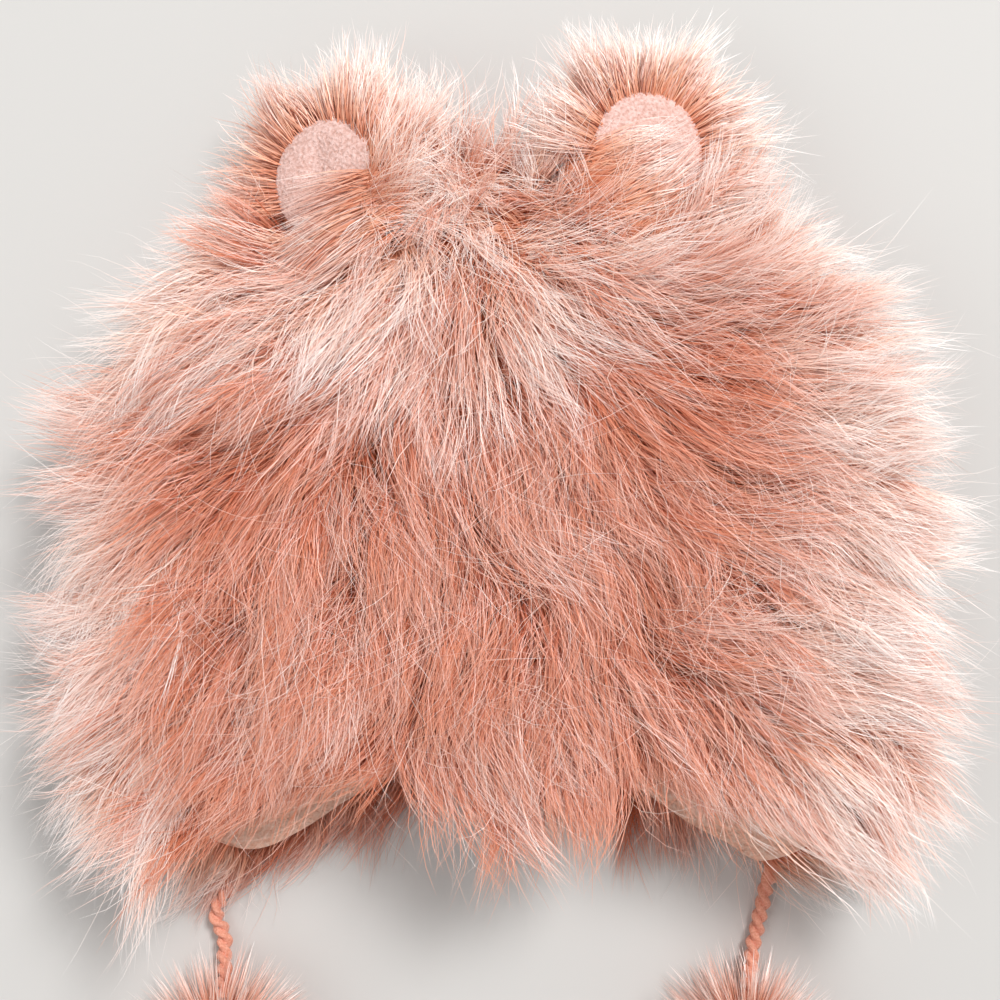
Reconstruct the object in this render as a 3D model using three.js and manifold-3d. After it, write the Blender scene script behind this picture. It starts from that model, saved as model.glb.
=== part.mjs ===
// A small child's trapper hat in long-pile fur, lying on its back with its front up.
// Millimetres, +Z up. The crown points to +Y, the mouth and the ties to -Y.
import * as THREE from 'three';
import { mergeVertices } from 'three/addons/utils/BufferGeometryUtils.js';
import Module from 'manifold-3d';

const wasm = await Module();
wasm.setup();

// Driving sizes of the bag of the hat
const HAT_LENGTH = 230; // crown seam to the flaps' tips
const HAT_HALF_WIDTH = 122; // inside, at the widest section
const HOLLOW_HALF_HEIGHT = 15;
const LINING_WALL = 2.5;
const HIDE_WALL = 2;
const FIT_GAP = 0.4; // between pieces that touch
const UNDERFUR_FRONT = 6; // dense fur over the hide, below the locks
const UNDERFUR_SIDE = 5;
const UNDERFUR_BACK = 8; // pressed flat by the hat's weight
const HEM_RUN_OUT = 3; // how far a cutting body runs past the hem

// Driving sizes of the fur
const LOCK_LENGTH = 37;
const LOCK_WIDTH = 25;
const LOCK_DEPTH = 8;
const LOCK_ROOT_DEPTH = 4; // how deep a root sits in the underfur
const LOCK_SPREAD = 0.15; // how far a whole lock leans out from the wall
const EDGE_FUR_DROP = 6; // how far the tips at the edge sink

// Driving sizes of the ears
const EAR_HALF_WIDTH = 22;
const EAR_HALF_HEIGHT = 24;
const EAR_HALF_THICKNESS = 6;
const EAR_LOCK_LENGTH = 24;
const EAR_LOCK_WIDTH = 17;
const PATCH_HALF_WIDTH = 18;
const PATCH_HALF_HEIGHT = 20;
const PATCH_HALF_THICKNESS = 2.6;
const EAR_CLEARANCE = 0.9; // of the crown's locks round the ears
const EAR_SEAT = 3; // height of an ear's middle over the crown that it is sewn to

// Driving sizes of the ties and pompoms
const TIE_DIAMETER = 5;
const TIE_SIDES = 8;
const TIE_STEPS = 16;
const POMPOM_CORE_RADIUS = 15;
const POMPOM_LOCK_LENGTH = 22;
const POMPOM_LOCK_WIDTH = 19;
const POMPOM_LIE_HEIGHT = 17; // its middle over the surface, the pile under it pressed flat

// How finely the bag is divided
const RING_SIDES = 26;
const RING_DROPS = [0, 0.03, 0.08, 0.16, 0.27, 0.41, 0.56, 0.71, 0.85, 1];
const SECTION_ROUNDNESS = 0.78; // 1 is an ellipse, less is squarer
const CROWN_FADE = 0.16; // share of the length over which the crown end rounds off

// Sections of the hollow, down from the crown seam, as shares of the named sizes
const SECTIONS = [
  { down: 0, left: 0.14, right: 0.14, rise: 0.14 },
  { down: 0.01, left: 0.28, right: 0.28, rise: 0.3 },
  { down: 0.03, left: 0.4, right: 0.41, rise: 0.42 },
  { down: 0.057, left: 0.5, right: 0.53, rise: 0.56 },
  { down: 0.108, left: 0.64, right: 0.68, rise: 0.72 },
  { down: 0.179, left: 0.775, right: 0.8, rise: 0.84 },
  { down: 0.265, left: 0.86, right: 0.895, rise: 0.93 },
  { down: 0.38, left: 0.92, right: 0.96, rise: 1 },
  { down: 0.51, left: 0.965, right: 0.99, rise: 1 },
  { down: 0.64, left: 1, right: 1, rise: 1 },
  { down: 0.77, left: 1.02, right: 1.01, rise: 0.95 },
  { down: 0.88, left: 1.01, right: 1.03, rise: 0.86 },
  { down: 0.97, left: 0.93, right: 0.98, rise: 0.76 },
  { down: 1.04, left: 0.84, right: 0.89, rise: 0.7 },
];

// The hem from side to side: how far down the front and back layers reach
const HEM = [
  { across: -1, front: 0.897, back: 0.897 },
  { across: -0.9, front: 0.945, back: 0.971 },
  { across: -0.78, front: 0.945, back: 1.003 },
  { across: -0.6, front: 0.915, back: 0.977 },
  { across: -0.42, front: 0.872, back: 0.928 },
  { across: -0.25, front: 0.853, back: 0.884 },
  { across: 0, front: 0.852, back: 0.862 },
  { across: 0.25, front: 0.85, back: 0.873 },
  { across: 0.4, front: 0.862, back: 0.915 },
  { across: 0.55, front: 0.898, back: 0.963 },
  { across: 0.7, front: 0.931, back: 0.997 },
  { across: 0.82, front: 0.954, back: 1.02 },
  { across: 0.92, front: 0.952, back: 0.99 },
  { across: 1, front: 0.911, back: 0.911 },
];

// Dents and partings of the front: centre, lengths along and across, and depth
const DENTS = [
  { across: -0.66, down: 0.36, turn: 2.7, long: 0.2, wide: 0.07, deep: 0.42 },
  { across: 0.28, down: 0.58, turn: -0.9, long: 0.24, wide: 0.06, deep: 0.26 },
  { across: 0.44, down: 0.25, turn: -0.05, long: 0.3, wide: 0.06, deep: 0.26 },
  { across: -0.7, down: 0.85, turn: 1.45, long: 0.16, wide: 0.06, deep: 0.3 },
];

// Lie of the pile on the front: the way that the tips point
const PILE_GUIDES = [
  { across: -0.1, down: -0.02, x: 0.1, y: 1 },
  { across: 0.25, down: 0.02, x: 0.6, y: 0.8 },
  { across: -0.45, down: 0.1, x: -0.85, y: -0.45 },
  { across: -0.8, down: 0.18, x: -1, y: -0.1 },
  { across: -0.65, down: 0.3, x: -0.9, y: -0.4 },
  { across: -0.9, down: 0.45, x: -0.9, y: -0.35 },
  { across: -1, down: 0.7, x: -0.9, y: -0.35 },
  { across: -0.95, down: 0.95, x: -0.6, y: -0.8 },
  { across: -0.65, down: 0.7, x: -0.45, y: -0.9 },
  { across: -0.5, down: 0.48, x: -0.2, y: -1 },
  { across: -0.35, down: 0.78, x: -0.4, y: -0.9 },
  { across: -0.15, down: 0.25, x: -0.05, y: -1 },
  { across: -0.1, down: 0.55, x: 0.05, y: -1 },
  { across: 0, down: 0.85, x: 0.05, y: -1 },
  { across: 0.08, down: 0.34, x: 0.5, y: -0.85 },
  { across: 0.2, down: 0.56, x: 0.6, y: -0.8 },
  { across: 0.3, down: 0.18, x: 0.85, y: -0.5 },
  { across: 0.55, down: 0.2, x: 1, y: -0.2 },
  { across: 0.85, down: 0.22, x: 1, y: 0 },
  { across: 0.95, down: 0.4, x: 0.95, y: -0.25 },
  { across: 0.6, down: 0.42, x: 0.95, y: -0.3 },
  { across: 0.65, down: 0.65, x: 0.8, y: -0.6 },
  { across: 1, down: 0.68, x: 0.92, y: -0.4 },
  { across: 0.55, down: 0.9, x: 0.45, y: -0.9 },
  { across: 0.95, down: 0.95, x: 0.6, y: -0.8 },
];
const GUIDE_REACH = 0.12; // a guide's softening, as a share of the half width

// Rows of locks, down from the crown, each spread evenly over `reach` of the half width
const FRONT_LOCKS = [
  { drop: 0.02, count: 4, reach: 0.7, length: 0.75, lift: 0.35 },
  { drop: 0.12, count: 6, reach: 0.95, length: 0.9, lift: 0.4 },
  { drop: 0.26, count: 7, reach: 0.96, length: 1, lift: 0.4 },
  { drop: 0.39, count: 8, reach: 0.97, length: 1, lift: 0.4 },
  { drop: 0.52, count: 7, reach: 0.96, length: 1, lift: 0.4 },
  { drop: 0.65, count: 8, reach: 0.97, length: 1, lift: 0.4 },
  { drop: 0.79, count: 7, reach: 0.96, length: 1, lift: 0.35 },
  { drop: 0.94, count: 9, reach: 0.96, length: 0.95, lift: 0.2 },
];
const BACK_LOCKS = [
  { drop: 0.03, count: 4, reach: 0.7, length: 0.75, lift: 0.1 },
  { drop: 0.19, count: 2, reach: 0.97, length: 0.85, lift: 0 },
  { drop: 0.33, count: 2, reach: 0.97, length: 0.85, lift: 0 },
  { drop: 0.46, count: 2, reach: 0.97, length: 0.85, lift: 0 },
  { drop: 0.59, count: 2, reach: 0.97, length: 0.85, lift: 0 },
  { drop: 0.73, count: 2, reach: 0.97, length: 0.85, lift: 0 },
  { drop: 0.965, count: 8, reach: 0.93, length: 0.95, lift: 0 },
];
const EDGE_LOCK_SHARE = 0.85; // how long a lock at the side is, beside one in the middle

// A lock's form: a ridged spindle
const LOCK_RINGS = [
  { along: 0, wide: 0.5 },
  { along: 0.4, wide: 1 },
  { along: 0.76, wide: 0.55 },
];

// Where the flaps are sewn to the crown: a line from the hem's arch out to the side
const FLAP_SEAM = { inner: 0.3, innerDown: 0.93, outer: 1.25, outerDown: 0.72 };

// The ears: where they are sewn, how they lean, and how they roll about their own length
const EARS = [
  { side: 'left', across: -0.44, down: 0.026, lean: 0.1, roll: -0.34, pitch: -0.22 },
  { side: 'right', across: 0.402, down: -0.01, lean: -0.16, roll: 0.12, pitch: -0.18 },
];
const EAR_RIM_LOCKS = [
  { count: 7, from: -0.1, to: 1.1, height: 0.2, lift: 0.25 },
  { count: 5, from: 0.02, to: 0.98, height: -0.4, lift: -0.4 },
];

// The ties' routes and the pompoms' places, chosen by hand, from the crown seam's middle
const TIES = [
  {
    side: 'left',
    pompom: [-93.4, -298],
    route: [
      [-96.2, -222, 9.4], [-96.6, -227, 9.2], [-96.8, -231, 8.6], [-96.4, -235, 7.2],
      [-95.4, -238.6, 5.4], [-93.8, -242, 3.9], [-93.3, -245.3, 3.1], [-94.8, -248.4, 2.9],
      [-97, -251.6, 2.9], [-98.4, -255, 2.9], [-98.2, -258.6, 2.9], [-96.6, -262, 2.9],
      [-95.6, -265.4, 3.1], [-95.4, -269, 4.2], [-95, -272.6, 6.4], [-94.4, -276.2, 9.6],
      [-94, -279.4, 13], [-93.7, -282.2, 16.2],
    ],
  },
  {
    side: 'right',
    pompom: [86.5, -298],
    route: [
      [98.6, -226, 9.4], [98.2, -230.5, 9.2], [97.7, -235, 8.4], [97.1, -239, 6.8],
      [96.4, -243, 4.9], [95.6, -247, 3.5], [94.8, -251, 2.9], [93.9, -255, 2.9],
      [93, -259, 2.9], [92, -263, 3], [91, -266.8, 3.7], [90, -270.4, 5.4],
      [89.1, -274, 8], [88.3, -277.4, 11.2], [87.6, -280.4, 14.4], [87.1, -283, 17.2],
    ],
  },
];
const POMPOM_LOCK_BANDS = [
  { height: 0.85, count: 3 },
  { height: 0.3, count: 6 },
  { height: -0.3, count: 6 },
];

const clamp = (value, low, high) => Math.min(Math.max(value, low), high);
const fade = (share) => {
  const t = clamp(share, 0, 1);
  return t * t * (3 - 2 * t);
};

// A table's column at a place along its key column, on a smooth curve through the rows.
function along(rows, key, column, place) {
  const last = rows.length - 1;
  const next = rows.findIndex((row) => row[key] > place);
  const i = next < 0 ? last - 1 : Math.max(next - 1, 0);
  const [a, b] = [rows[i], rows[i + 1]];
  const slope = (j) => {
    const [low, high] = [rows[Math.max(j - 1, 0)], rows[Math.min(j + 1, last)]];
    return (high[column] - low[column]) / (high[key] - low[key]);
  };
  const span = b[key] - a[key];
  const t = clamp((place - a[key]) / span, 0, 1);
  const [t2, t3] = [t * t, t * t * t];
  return (
    (2 * t3 - 3 * t2 + 1) * a[column] + (t3 - 2 * t2 + t) * span * slope(i) +
    (3 * t2 - 2 * t3) * b[column] + (t3 - t2) * span * slope(i + 1)
  );
}

// The layers of the wall, each as its distance outside the hollow
const even = (out) => ({ side: out, top: out, under: out });
const HOLLOW = even(0);
const LINING_FACE = even(LINING_WALL);
const HIDE_FACE = even(LINING_WALL + FIT_GAP);
const hideOut = LINING_WALL + FIT_GAP + HIDE_WALL;
const FUR_FACE = {
  side: hideOut + UNDERFUR_SIDE,
  top: hideOut + UNDERFUR_FRONT,
  under: hideOut + UNDERFUR_BACK,
};
const CLEAR_OF_FUR = {
  side: FUR_FACE.side + FIT_GAP,
  top: FUR_FACE.top + FIT_GAP,
  under: FUR_FACE.under + FIT_GAP,
};

// How far the dents lower the front at a place on it.
function dentDepth(across, down) {
  return DENTS.reduce((sum, dent) => {
    const x = (across - dent.across) * HAT_HALF_WIDTH;
    const y = (dent.down - down) * HAT_LENGTH;
    const u = (x * Math.cos(dent.turn) + y * Math.sin(dent.turn)) / (dent.long * HAT_LENGTH);
    const v = (y * Math.cos(dent.turn) - x * Math.sin(dent.turn)) / (dent.wide * HAT_LENGTH);
    return sum + dent.deep * HOLLOW_HALF_HEIGHT * Math.exp(-4 * u * u - 2 * v * v);
  }, 0);
}

// A point of a layer: `drop` runs from the crown seam to the hem, `turn` round the section.
function wallPoint(drop, turn, layer) {
  const square = (value) => Math.sign(value) * Math.abs(value) ** SECTION_ROUNDNESS;
  const across = square(Math.cos(turn));
  const up = square(Math.sin(turn));
  const down = drop * along(HEM, 'across', up >= 0 ? 'front' : 'back', across);
  const half = along(SECTIONS, 'down', across < 0 ? 'left' : 'right', down) * HAT_HALF_WIDTH;
  const rise = along(SECTIONS, 'down', 'rise', down) * HOLLOW_HALF_HEIGHT;
  const middle = FUR_FACE.under + rise;
  const dent = up > 0 ? dentDepth((across * half) / HAT_HALF_WIDTH, down) * fade(up * 2) : 0;
  return new THREE.Vector3(
    across * (half + layer.side),
    layer.top * (1 - fade(down / CROWN_FADE)) - down * HAT_LENGTH,
    middle + (up > 0 ? up * (rise + layer.top) - dent : up * (rise + layer.under)),
  );
}

// The outward direction of the wall at a place.
function wallNormal(drop, turn) {
  const step = 0.01;
  const low = wallPoint(Math.max(drop - step, 0), turn, FUR_FACE);
  const high = wallPoint(Math.min(drop + step, 1), turn, FUR_FACE);
  const before = wallPoint(drop, turn - step, FUR_FACE);
  const after = wallPoint(drop, turn + step, FUR_FACE);
  const normal = after.sub(before).cross(high.sub(low)).normalize();
  const outward = new THREE.Vector3(Math.cos(turn), 0, Math.sin(turn));
  return normal.dot(outward) < 0 ? normal.negate() : normal;
}

// A closed body through rings of points, ended by a fan to a point at each end.
function loft(rings, first, last) {
  const sides = rings[0].length;
  const points = [first, ...rings.flat(), last];
  const faces = [];
  const at = (ring, side) => 1 + ring * sides + (side % sides);
  for (let side = 0; side < sides; side += 1) {
    faces.push(0, at(0, side), at(0, side + 1));
    faces.push(points.length - 1, at(rings.length - 1, side + 1), at(rings.length - 1, side));
    for (let ring = 0; ring < rings.length - 1; ring += 1) {
      faces.push(at(ring, side), at(ring + 1, side), at(ring + 1, side + 1));
      faces.push(at(ring, side), at(ring + 1, side + 1), at(ring, side + 1));
    }
  }
  const geometry = new THREE.BufferGeometry().setFromPoints(points);
  geometry.setIndex(faces);
  return solidOf(geometry);
}

// A solid that can be joined and cut, from a closed geometry.
function solidOf(geometry) {
  geometry.deleteAttribute('normal');
  geometry.deleteAttribute('uv');
  const merged = mergeVertices(geometry, 1e-4);
  const triVerts = Uint32Array.from(merged.index.array);
  const vertProperties = Float32Array.from(merged.attributes.position.array);
  const solid = new wasm.Manifold(new wasm.Mesh({ numProp: 3, vertProperties, triVerts }));
  if (solid.volume() > 0) return solid;
  for (let i = 0; i < triVerts.length; i += 3) {
    [triVerts[i], triVerts[i + 1]] = [triVerts[i + 1], triVerts[i]];
  }
  return new wasm.Manifold(new wasm.Mesh({ numProp: 3, vertProperties, triVerts }));
}

const join = (solids) => solids.reduce((whole, solid) => whole.add(solid));
const middleOf = (points) =>
  points.reduce((sum, point) => sum.add(point), new THREE.Vector3()).divideScalar(points.length);

// The whole body inside one layer of the wall, run on past the hem by `beyond`.
function bagBody(layer, beyond = 0) {
  const turns = Array.from({ length: RING_SIDES }, (_, i) => (2 * Math.PI * i) / RING_SIDES);
  const rings = RING_DROPS.map((drop) => turns.map((turn) => wallPoint(drop, turn, layer)));
  if (beyond > 0) {
    const past = new THREE.Vector3(0, -beyond, 0);
    rings.push(rings.at(-1).map((point) => point.clone().add(past)));
  }
  return loft(rings, middleOf(rings[0]), middleOf(rings.at(-1)));
}

// The way that the tips point at a place on the hat, in the plane that it lies on.
function pileWay(point) {
  const across = point.x / HAT_HALF_WIDTH;
  const down = -point.y / HAT_LENGTH;
  const way = new THREE.Vector3();
  for (const guide of PILE_GUIDES) {
    const x = across - guide.across;
    const y = ((down - guide.down) * HAT_LENGTH) / HAT_HALF_WIDTH;
    const weight = 1 / (x * x + y * y + GUIDE_REACH * GUIDE_REACH) ** 2;
    way.add(new THREE.Vector3(guide.x, guide.y, 0).setLength(weight));
  }
  return way.normalize();
}

// One lock: it leaves its root along `start` and bows round to `finish`, grown all round by `grow`.
function lock(root, start, finish, up, length, width, depth, grow = 0) {
  const place = (share) =>
    root.clone()
      .addScaledVector(start, length * share * (1 - share / 2))
      .addScaledVector(finish, (length * share * share) / 2);
  const side = new THREE.Vector3().crossVectors(start, up).normalize();
  const ridge = new THREE.Vector3().crossVectors(side, start).normalize();
  const rings = LOCK_RINGS.map(({ along: share, wide }) => {
    const middle = place(share);
    const half = (width * wide) / 2 + 3 * grow; // the ridge's flanks are shallow
    return [
      middle.clone().addScaledVector(side, half).addScaledVector(ridge, -grow),
      middle.clone().addScaledVector(ridge, depth * wide + 2 * grow),
      middle.clone().addScaledVector(side, -half).addScaledVector(ridge, -grow),
    ];
  });
  const tip = place(1 + (2 * grow) / length);
  return loft(rings, middleOf(rings[0]), tip);
}

// A lock of the bag's own fur, rooted at a place on its wall.
function bagLock(drop, turn, length, lift) {
  const normal = wallNormal(drop, turn);
  const face = wallPoint(drop, turn, FUR_FACE);
  const root = face.clone().addScaledVector(normal, -LOCK_ROOT_DEPTH);
  const way = pileWay(face);
  const start = way.clone().addScaledVector(normal, lift + LOCK_SPREAD).normalize();
  const atEdge = 1 - Math.abs(normal.z);
  const drop3 = (-EDGE_FUR_DROP * atEdge) / LOCK_LENGTH;
  const finish = way.clone().addScaledVector(normal, LOCK_SPREAD).setZ(drop3).normalize();
  const up = Math.abs(normal.z) > 0.3 ? normal : new THREE.Vector3(0, 0, 1);
  return lock(root, start, finish, up, length, LOCK_WIDTH, LOCK_DEPTH);
}

// The turn at which the wall lies `across` of the way to its side, on the front or back.
function turnAt(across, front) {
  const turn = Math.acos(Math.sign(across) * Math.abs(across) ** (1 / SECTION_ROUNDNESS));
  return front ? turn : -turn;
}

function bagLocks() {
  const locks = [];
  const addRow = (row, front) => {
    for (let i = 0; i < row.count; i += 1) {
      const across = row.reach * ((2 * i) / (row.count - 1) - 1);
      const stagger = 0.12 * Math.sin(7.3 * i + 31 * row.drop);
      const shorter = 1 - (1 - EDGE_LOCK_SHARE) * fade(2 * Math.abs(across) - 0.9);
      const length = LOCK_LENGTH * row.length * shorter * (1 + stagger);
      locks.push(bagLock(row.drop * (1 + stagger / 8), turnAt(across, front), length, row.lift));
    }
  };
  FRONT_LOCKS.forEach((row) => addRow(row, true));
  BACK_LOCKS.forEach((row) => addRow(row, false));
  return join(locks);
}

// A block that fills everything below a level, as the surface that the hat lies on.
function ground(level = 0) {
  const size = 4 * (HAT_LENGTH + HAT_HALF_WIDTH);
  const block = new THREE.BoxGeometry(size, size, size);
  block.translate(0, 0, level - size / 2);
  return solidOf(block);
}

// A body of the seam between the front and back halves: `gap` thick, or all that is over it.
function overSeam(gap) {
  const size = 3 * HAT_LENGTH;
  const outline = new THREE.Shape();
  const level = (down) =>
    FUR_FACE.under + along(SECTIONS, 'down', 'rise', clamp(down, 0, 1)) * HOLLOW_HALF_HEIGHT + gap;
  outline.moveTo(size, size);
  outline.lineTo(size, level(0));
  for (const { down } of SECTIONS) outline.lineTo(-down * HAT_LENGTH, level(down));
  outline.lineTo(-size, level(1));
  outline.lineTo(-size, size);
  const block = new THREE.ExtrudeGeometry(outline, { depth: 2 * size, bevelEnabled: false });
  block.applyMatrix4(
    new THREE.Matrix4().makeBasis(
      new THREE.Vector3(0, 1, 0),
      new THREE.Vector3(0, 0, 1),
      new THREE.Vector3(1, 0, 0),
    ),
  );
  block.translate(-size, 0, 0);
  return solidOf(block);
}

// Everything on a flap's side of its seam, grown by `gap`. `hand` is -1 for left, 1 for right.
function flapSide(hand, gap) {
  const size = 2 * HAT_LENGTH;
  const x = (share) => hand * share * HAT_HALF_WIDTH;
  const inner = new THREE.Vector2(x(FLAP_SEAM.inner), -FLAP_SEAM.innerDown * HAT_LENGTH + gap);
  const outer = new THREE.Vector2(x(FLAP_SEAM.outer), -FLAP_SEAM.outerDown * HAT_LENGTH + gap);
  const outline = new THREE.Shape([
    inner,
    outer,
    new THREE.Vector2(outer.x, inner.y - size),
    new THREE.Vector2(inner.x, inner.y - size),
  ]);
  const block = new THREE.ExtrudeGeometry(outline, { depth: size, bevelEnabled: false });
  block.translate(0, 0, -size / 2);
  return solidOf(block);
}

const ellipsoid = (x, y, z, columns, rows) =>
  new THREE.SphereGeometry(1, columns, rows).rotateX(Math.PI / 2).scale(x, y, z);

// An ear's own frame: sewn to the crown at `across` and `down`, its top towards +Y.
function earFrame(ear) {
  const seat = wallPoint(0.09, Math.PI * (0.5 - ear.across / 2), FUR_FACE).z;
  const turned = new THREE.Euler(ear.pitch, ear.roll, ear.lean, 'ZXY');
  const place = new THREE.Vector3(
    ear.across * HAT_HALF_WIDTH, -ear.down * HAT_LENGTH, seat + EAR_SEAT - EAR_HALF_THICKNESS,
  );
  return new THREE.Matrix4().makeRotationFromEuler(turned).setPosition(place);
}

// The fur of an ear: a pad and its rim of locks, grown by `grow`.
function earFur(ear, grow) {
  const pad = ellipsoid(
    EAR_HALF_WIDTH + grow, EAR_HALF_HEIGHT + grow, EAR_HALF_THICKNESS + grow, 16, 7,
  );
  const parts = [solidOf(pad.applyMatrix4(earFrame(ear)))];
  for (const row of EAR_RIM_LOCKS) {
    for (let i = 0; i < row.count; i += 1) {
      const angle = Math.PI * (row.from + ((row.to - row.from) * (i + 0.5)) / row.count);
      const out = new THREE.Vector3(Math.cos(angle), Math.sin(angle), 0);
      const root = new THREE.Vector3(
        out.x * EAR_HALF_WIDTH * 0.8, out.y * EAR_HALF_HEIGHT * 0.8, row.height * EAR_HALF_THICKNESS,
      );
      const start = out.clone().setZ(row.lift).normalize();
      const length = EAR_LOCK_LENGTH * (1 + 0.15 * Math.sin(5 * i + row.height * 9));
      const turned = new THREE.Matrix4().extractRotation(earFrame(ear));
      const up = new THREE.Vector3(0, 0, Math.sign(row.height)).applyMatrix4(turned);
      const way = start.applyMatrix4(turned);
      const fall = way.clone().setZ(-EDGE_FUR_DROP / EAR_LOCK_LENGTH).normalize();
      const place = root.applyMatrix4(earFrame(ear));
      parts.push(lock(place, way, fall, up, length, EAR_LOCK_WIDTH, EAR_HALF_THICKNESS, grow));
    }
  }
  return join(parts);
}

// The fleece patch on the front of an ear, a flat cushion, grown by `grow`.
function earPatch(ear, grow) {
  const cushion = ellipsoid(
    PATCH_HALF_WIDTH + grow, PATCH_HALF_HEIGHT + grow, PATCH_HALF_THICKNESS + grow, 16, 6,
  );
  cushion.translate(0, 0, EAR_HALF_THICKNESS - PATCH_HALF_THICKNESS / 3);
  return solidOf(cushion.applyMatrix4(earFrame(ear)));
}

// A tie: a round cord along its route, grown by `grow`.
function tieCord(tie, grow) {
  const path = new THREE.CatmullRomCurve3(tie.route.map((point) => new THREE.Vector3(...point)));
  const radius = TIE_DIAMETER / 2 + grow;
  const section = new THREE.Shape(
    Array.from({ length: TIE_SIDES }, (_, i) => {
      const angle = (2 * Math.PI * (i + 0.5)) / TIE_SIDES;
      return new THREE.Vector2(radius * Math.cos(angle), radius * Math.sin(angle));
    }),
  );
  const tube = new THREE.ExtrudeGeometry(section, { steps: TIE_STEPS, extrudePath: path });
  return solidOf(tube);
}

// A pompom: a core with bands of locks, lying on the surface.
function pompomFur(tie) {
  const middle = new THREE.Vector3(...tie.pompom, POMPOM_LIE_HEIGHT);
  const core = new THREE.SphereGeometry(POMPOM_CORE_RADIUS, 10, 6).translate(...middle.toArray());
  const parts = [solidOf(core)];
  for (const band of POMPOM_LOCK_BANDS) {
    for (let i = 0; i < band.count; i += 1) {
      const angle = (2 * Math.PI * (i + 0.5 * Math.sign(band.height))) / band.count;
      const flat = Math.sqrt(1 - band.height ** 2);
      const out = new THREE.Vector3(flat * Math.cos(angle), flat * Math.sin(angle), band.height);
      const root = middle.clone().addScaledVector(out, POMPOM_CORE_RADIUS * 0.7);
      const up = new THREE.Vector3(-out.y, out.x, 0.4).normalize();
      const fall = out.clone().setZ(out.z - 0.3).normalize();
      const length = (POMPOM_LOCK_LENGTH + POMPOM_CORE_RADIUS * 0.3) * (1 + 0.1 * Math.sin(5 * i));
      parts.push(lock(root, out, fall, up, length, POMPOM_LOCK_WIDTH, POMPOM_LOCK_WIDTH * 0.7));
    }
  }
  return join(parts);
}

// The largest of a solid's bodies, without tips that a seam cut off.
function mainBody(solid) {
  const bodies = solid.decompose();
  return bodies.reduce((most, body) => (body.volume() > most.volume() ? body : most));
}

function nodeOf(name, solid, look) {
  const { vertProperties, triVerts } = mainBody(solid).getMesh();
  const geometry = new THREE.BufferGeometry();
  geometry.setAttribute('position', new THREE.BufferAttribute(vertProperties, 3));
  geometry.setIndex(new THREE.BufferAttribute(triVerts, 1));
  const mesh = new THREE.Mesh(geometry, look);
  mesh.name = name;
  return mesh;
}

const furLook = new THREE.MeshStandardMaterial({ color: 0xeba488, roughness: 0.85, metalness: 0 });
const fleeceLook = new THREE.MeshStandardMaterial({ color: 0xf2cabd, roughness: 0.95, metalness: 0 });
const yarnLook = new THREE.MeshStandardMaterial({ color: 0xc8785a, roughness: 0.9, metalness: 0 });

function buildHat() {
  const below = ground();
  const earSpace = join(EARS.flatMap((ear) => [earFur(ear, EAR_CLEARANCE), earPatch(ear, FIT_GAP)]));
  const tieSpace = join(TIES.map((tie) => tieCord(tie, FIT_GAP)));
  const seamOver = { left: flapSide(-1, 0), right: flapSide(1, 0) };
  const bothFlaps = join([flapSide(-1, FIT_GAP), flapSide(1, FIT_GAP)]);

  const fur = bagBody(FUR_FACE)
    .add(bagLocks().subtract(earSpace))
    .subtract(bagBody(HIDE_FACE, HEM_RUN_OUT))
    .subtract(tieSpace)
    .subtract(below);
  const crown = fur.subtract(bothFlaps);
  const crownFur = bagBody(CLEAR_OF_FUR);

  const nodes = [
    nodeOf('shell_front', crown.intersect(overSeam(FIT_GAP / 2)), furLook),
    nodeOf('shell_back', crown.subtract(overSeam(-FIT_GAP / 2)), furLook),
    nodeOf('flap_left', fur.intersect(seamOver.left), furLook),
    nodeOf('flap_right', fur.intersect(seamOver.right), furLook),
    nodeOf(
      'lining',
      bagBody(LINING_FACE).subtract(bagBody(HOLLOW, HEM_RUN_OUT)).subtract(tieSpace),
      fleeceLook,
    ),
  ];
  for (const ear of EARS) {
    const pad = earFur(ear, 0).subtract(earPatch(ear, FIT_GAP));
    nodes.push(nodeOf(`ear_${ear.side}`, pad.subtract(crownFur).subtract(below), furLook));
    nodes.push(nodeOf(`ear_inner_${ear.side}`, earPatch(ear, 0).subtract(crownFur), fleeceLook));
  }
  const ties = TIES.flatMap((tie) => [
    nodeOf(`tie_${tie.side}`, tieCord(tie, 0), yarnLook),
    nodeOf(`pompom_${tie.side}`, pompomFur(tie).subtract(tieSpace).subtract(below), furLook),
  ]);

  const hat = new THREE.Group();
  hat.add(...nodes);
  const middle = new THREE.Box3().setFromObject(hat).getCenter(new THREE.Vector3());
  hat.add(...ties);
  hat.position.set(-middle.x, -middle.y, 0);
  return hat;
}

const group = new THREE.Group();
group.add(buildHat());
export default group;
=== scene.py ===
# The looks of a small child's trapper hat in long-pile fur, lying on its back.
# Metres, +Z up, the crown towards +Y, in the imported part's own frame.
import math

import bmesh
import bpy
import numpy as np
from mathutils import Matrix, Vector


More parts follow.
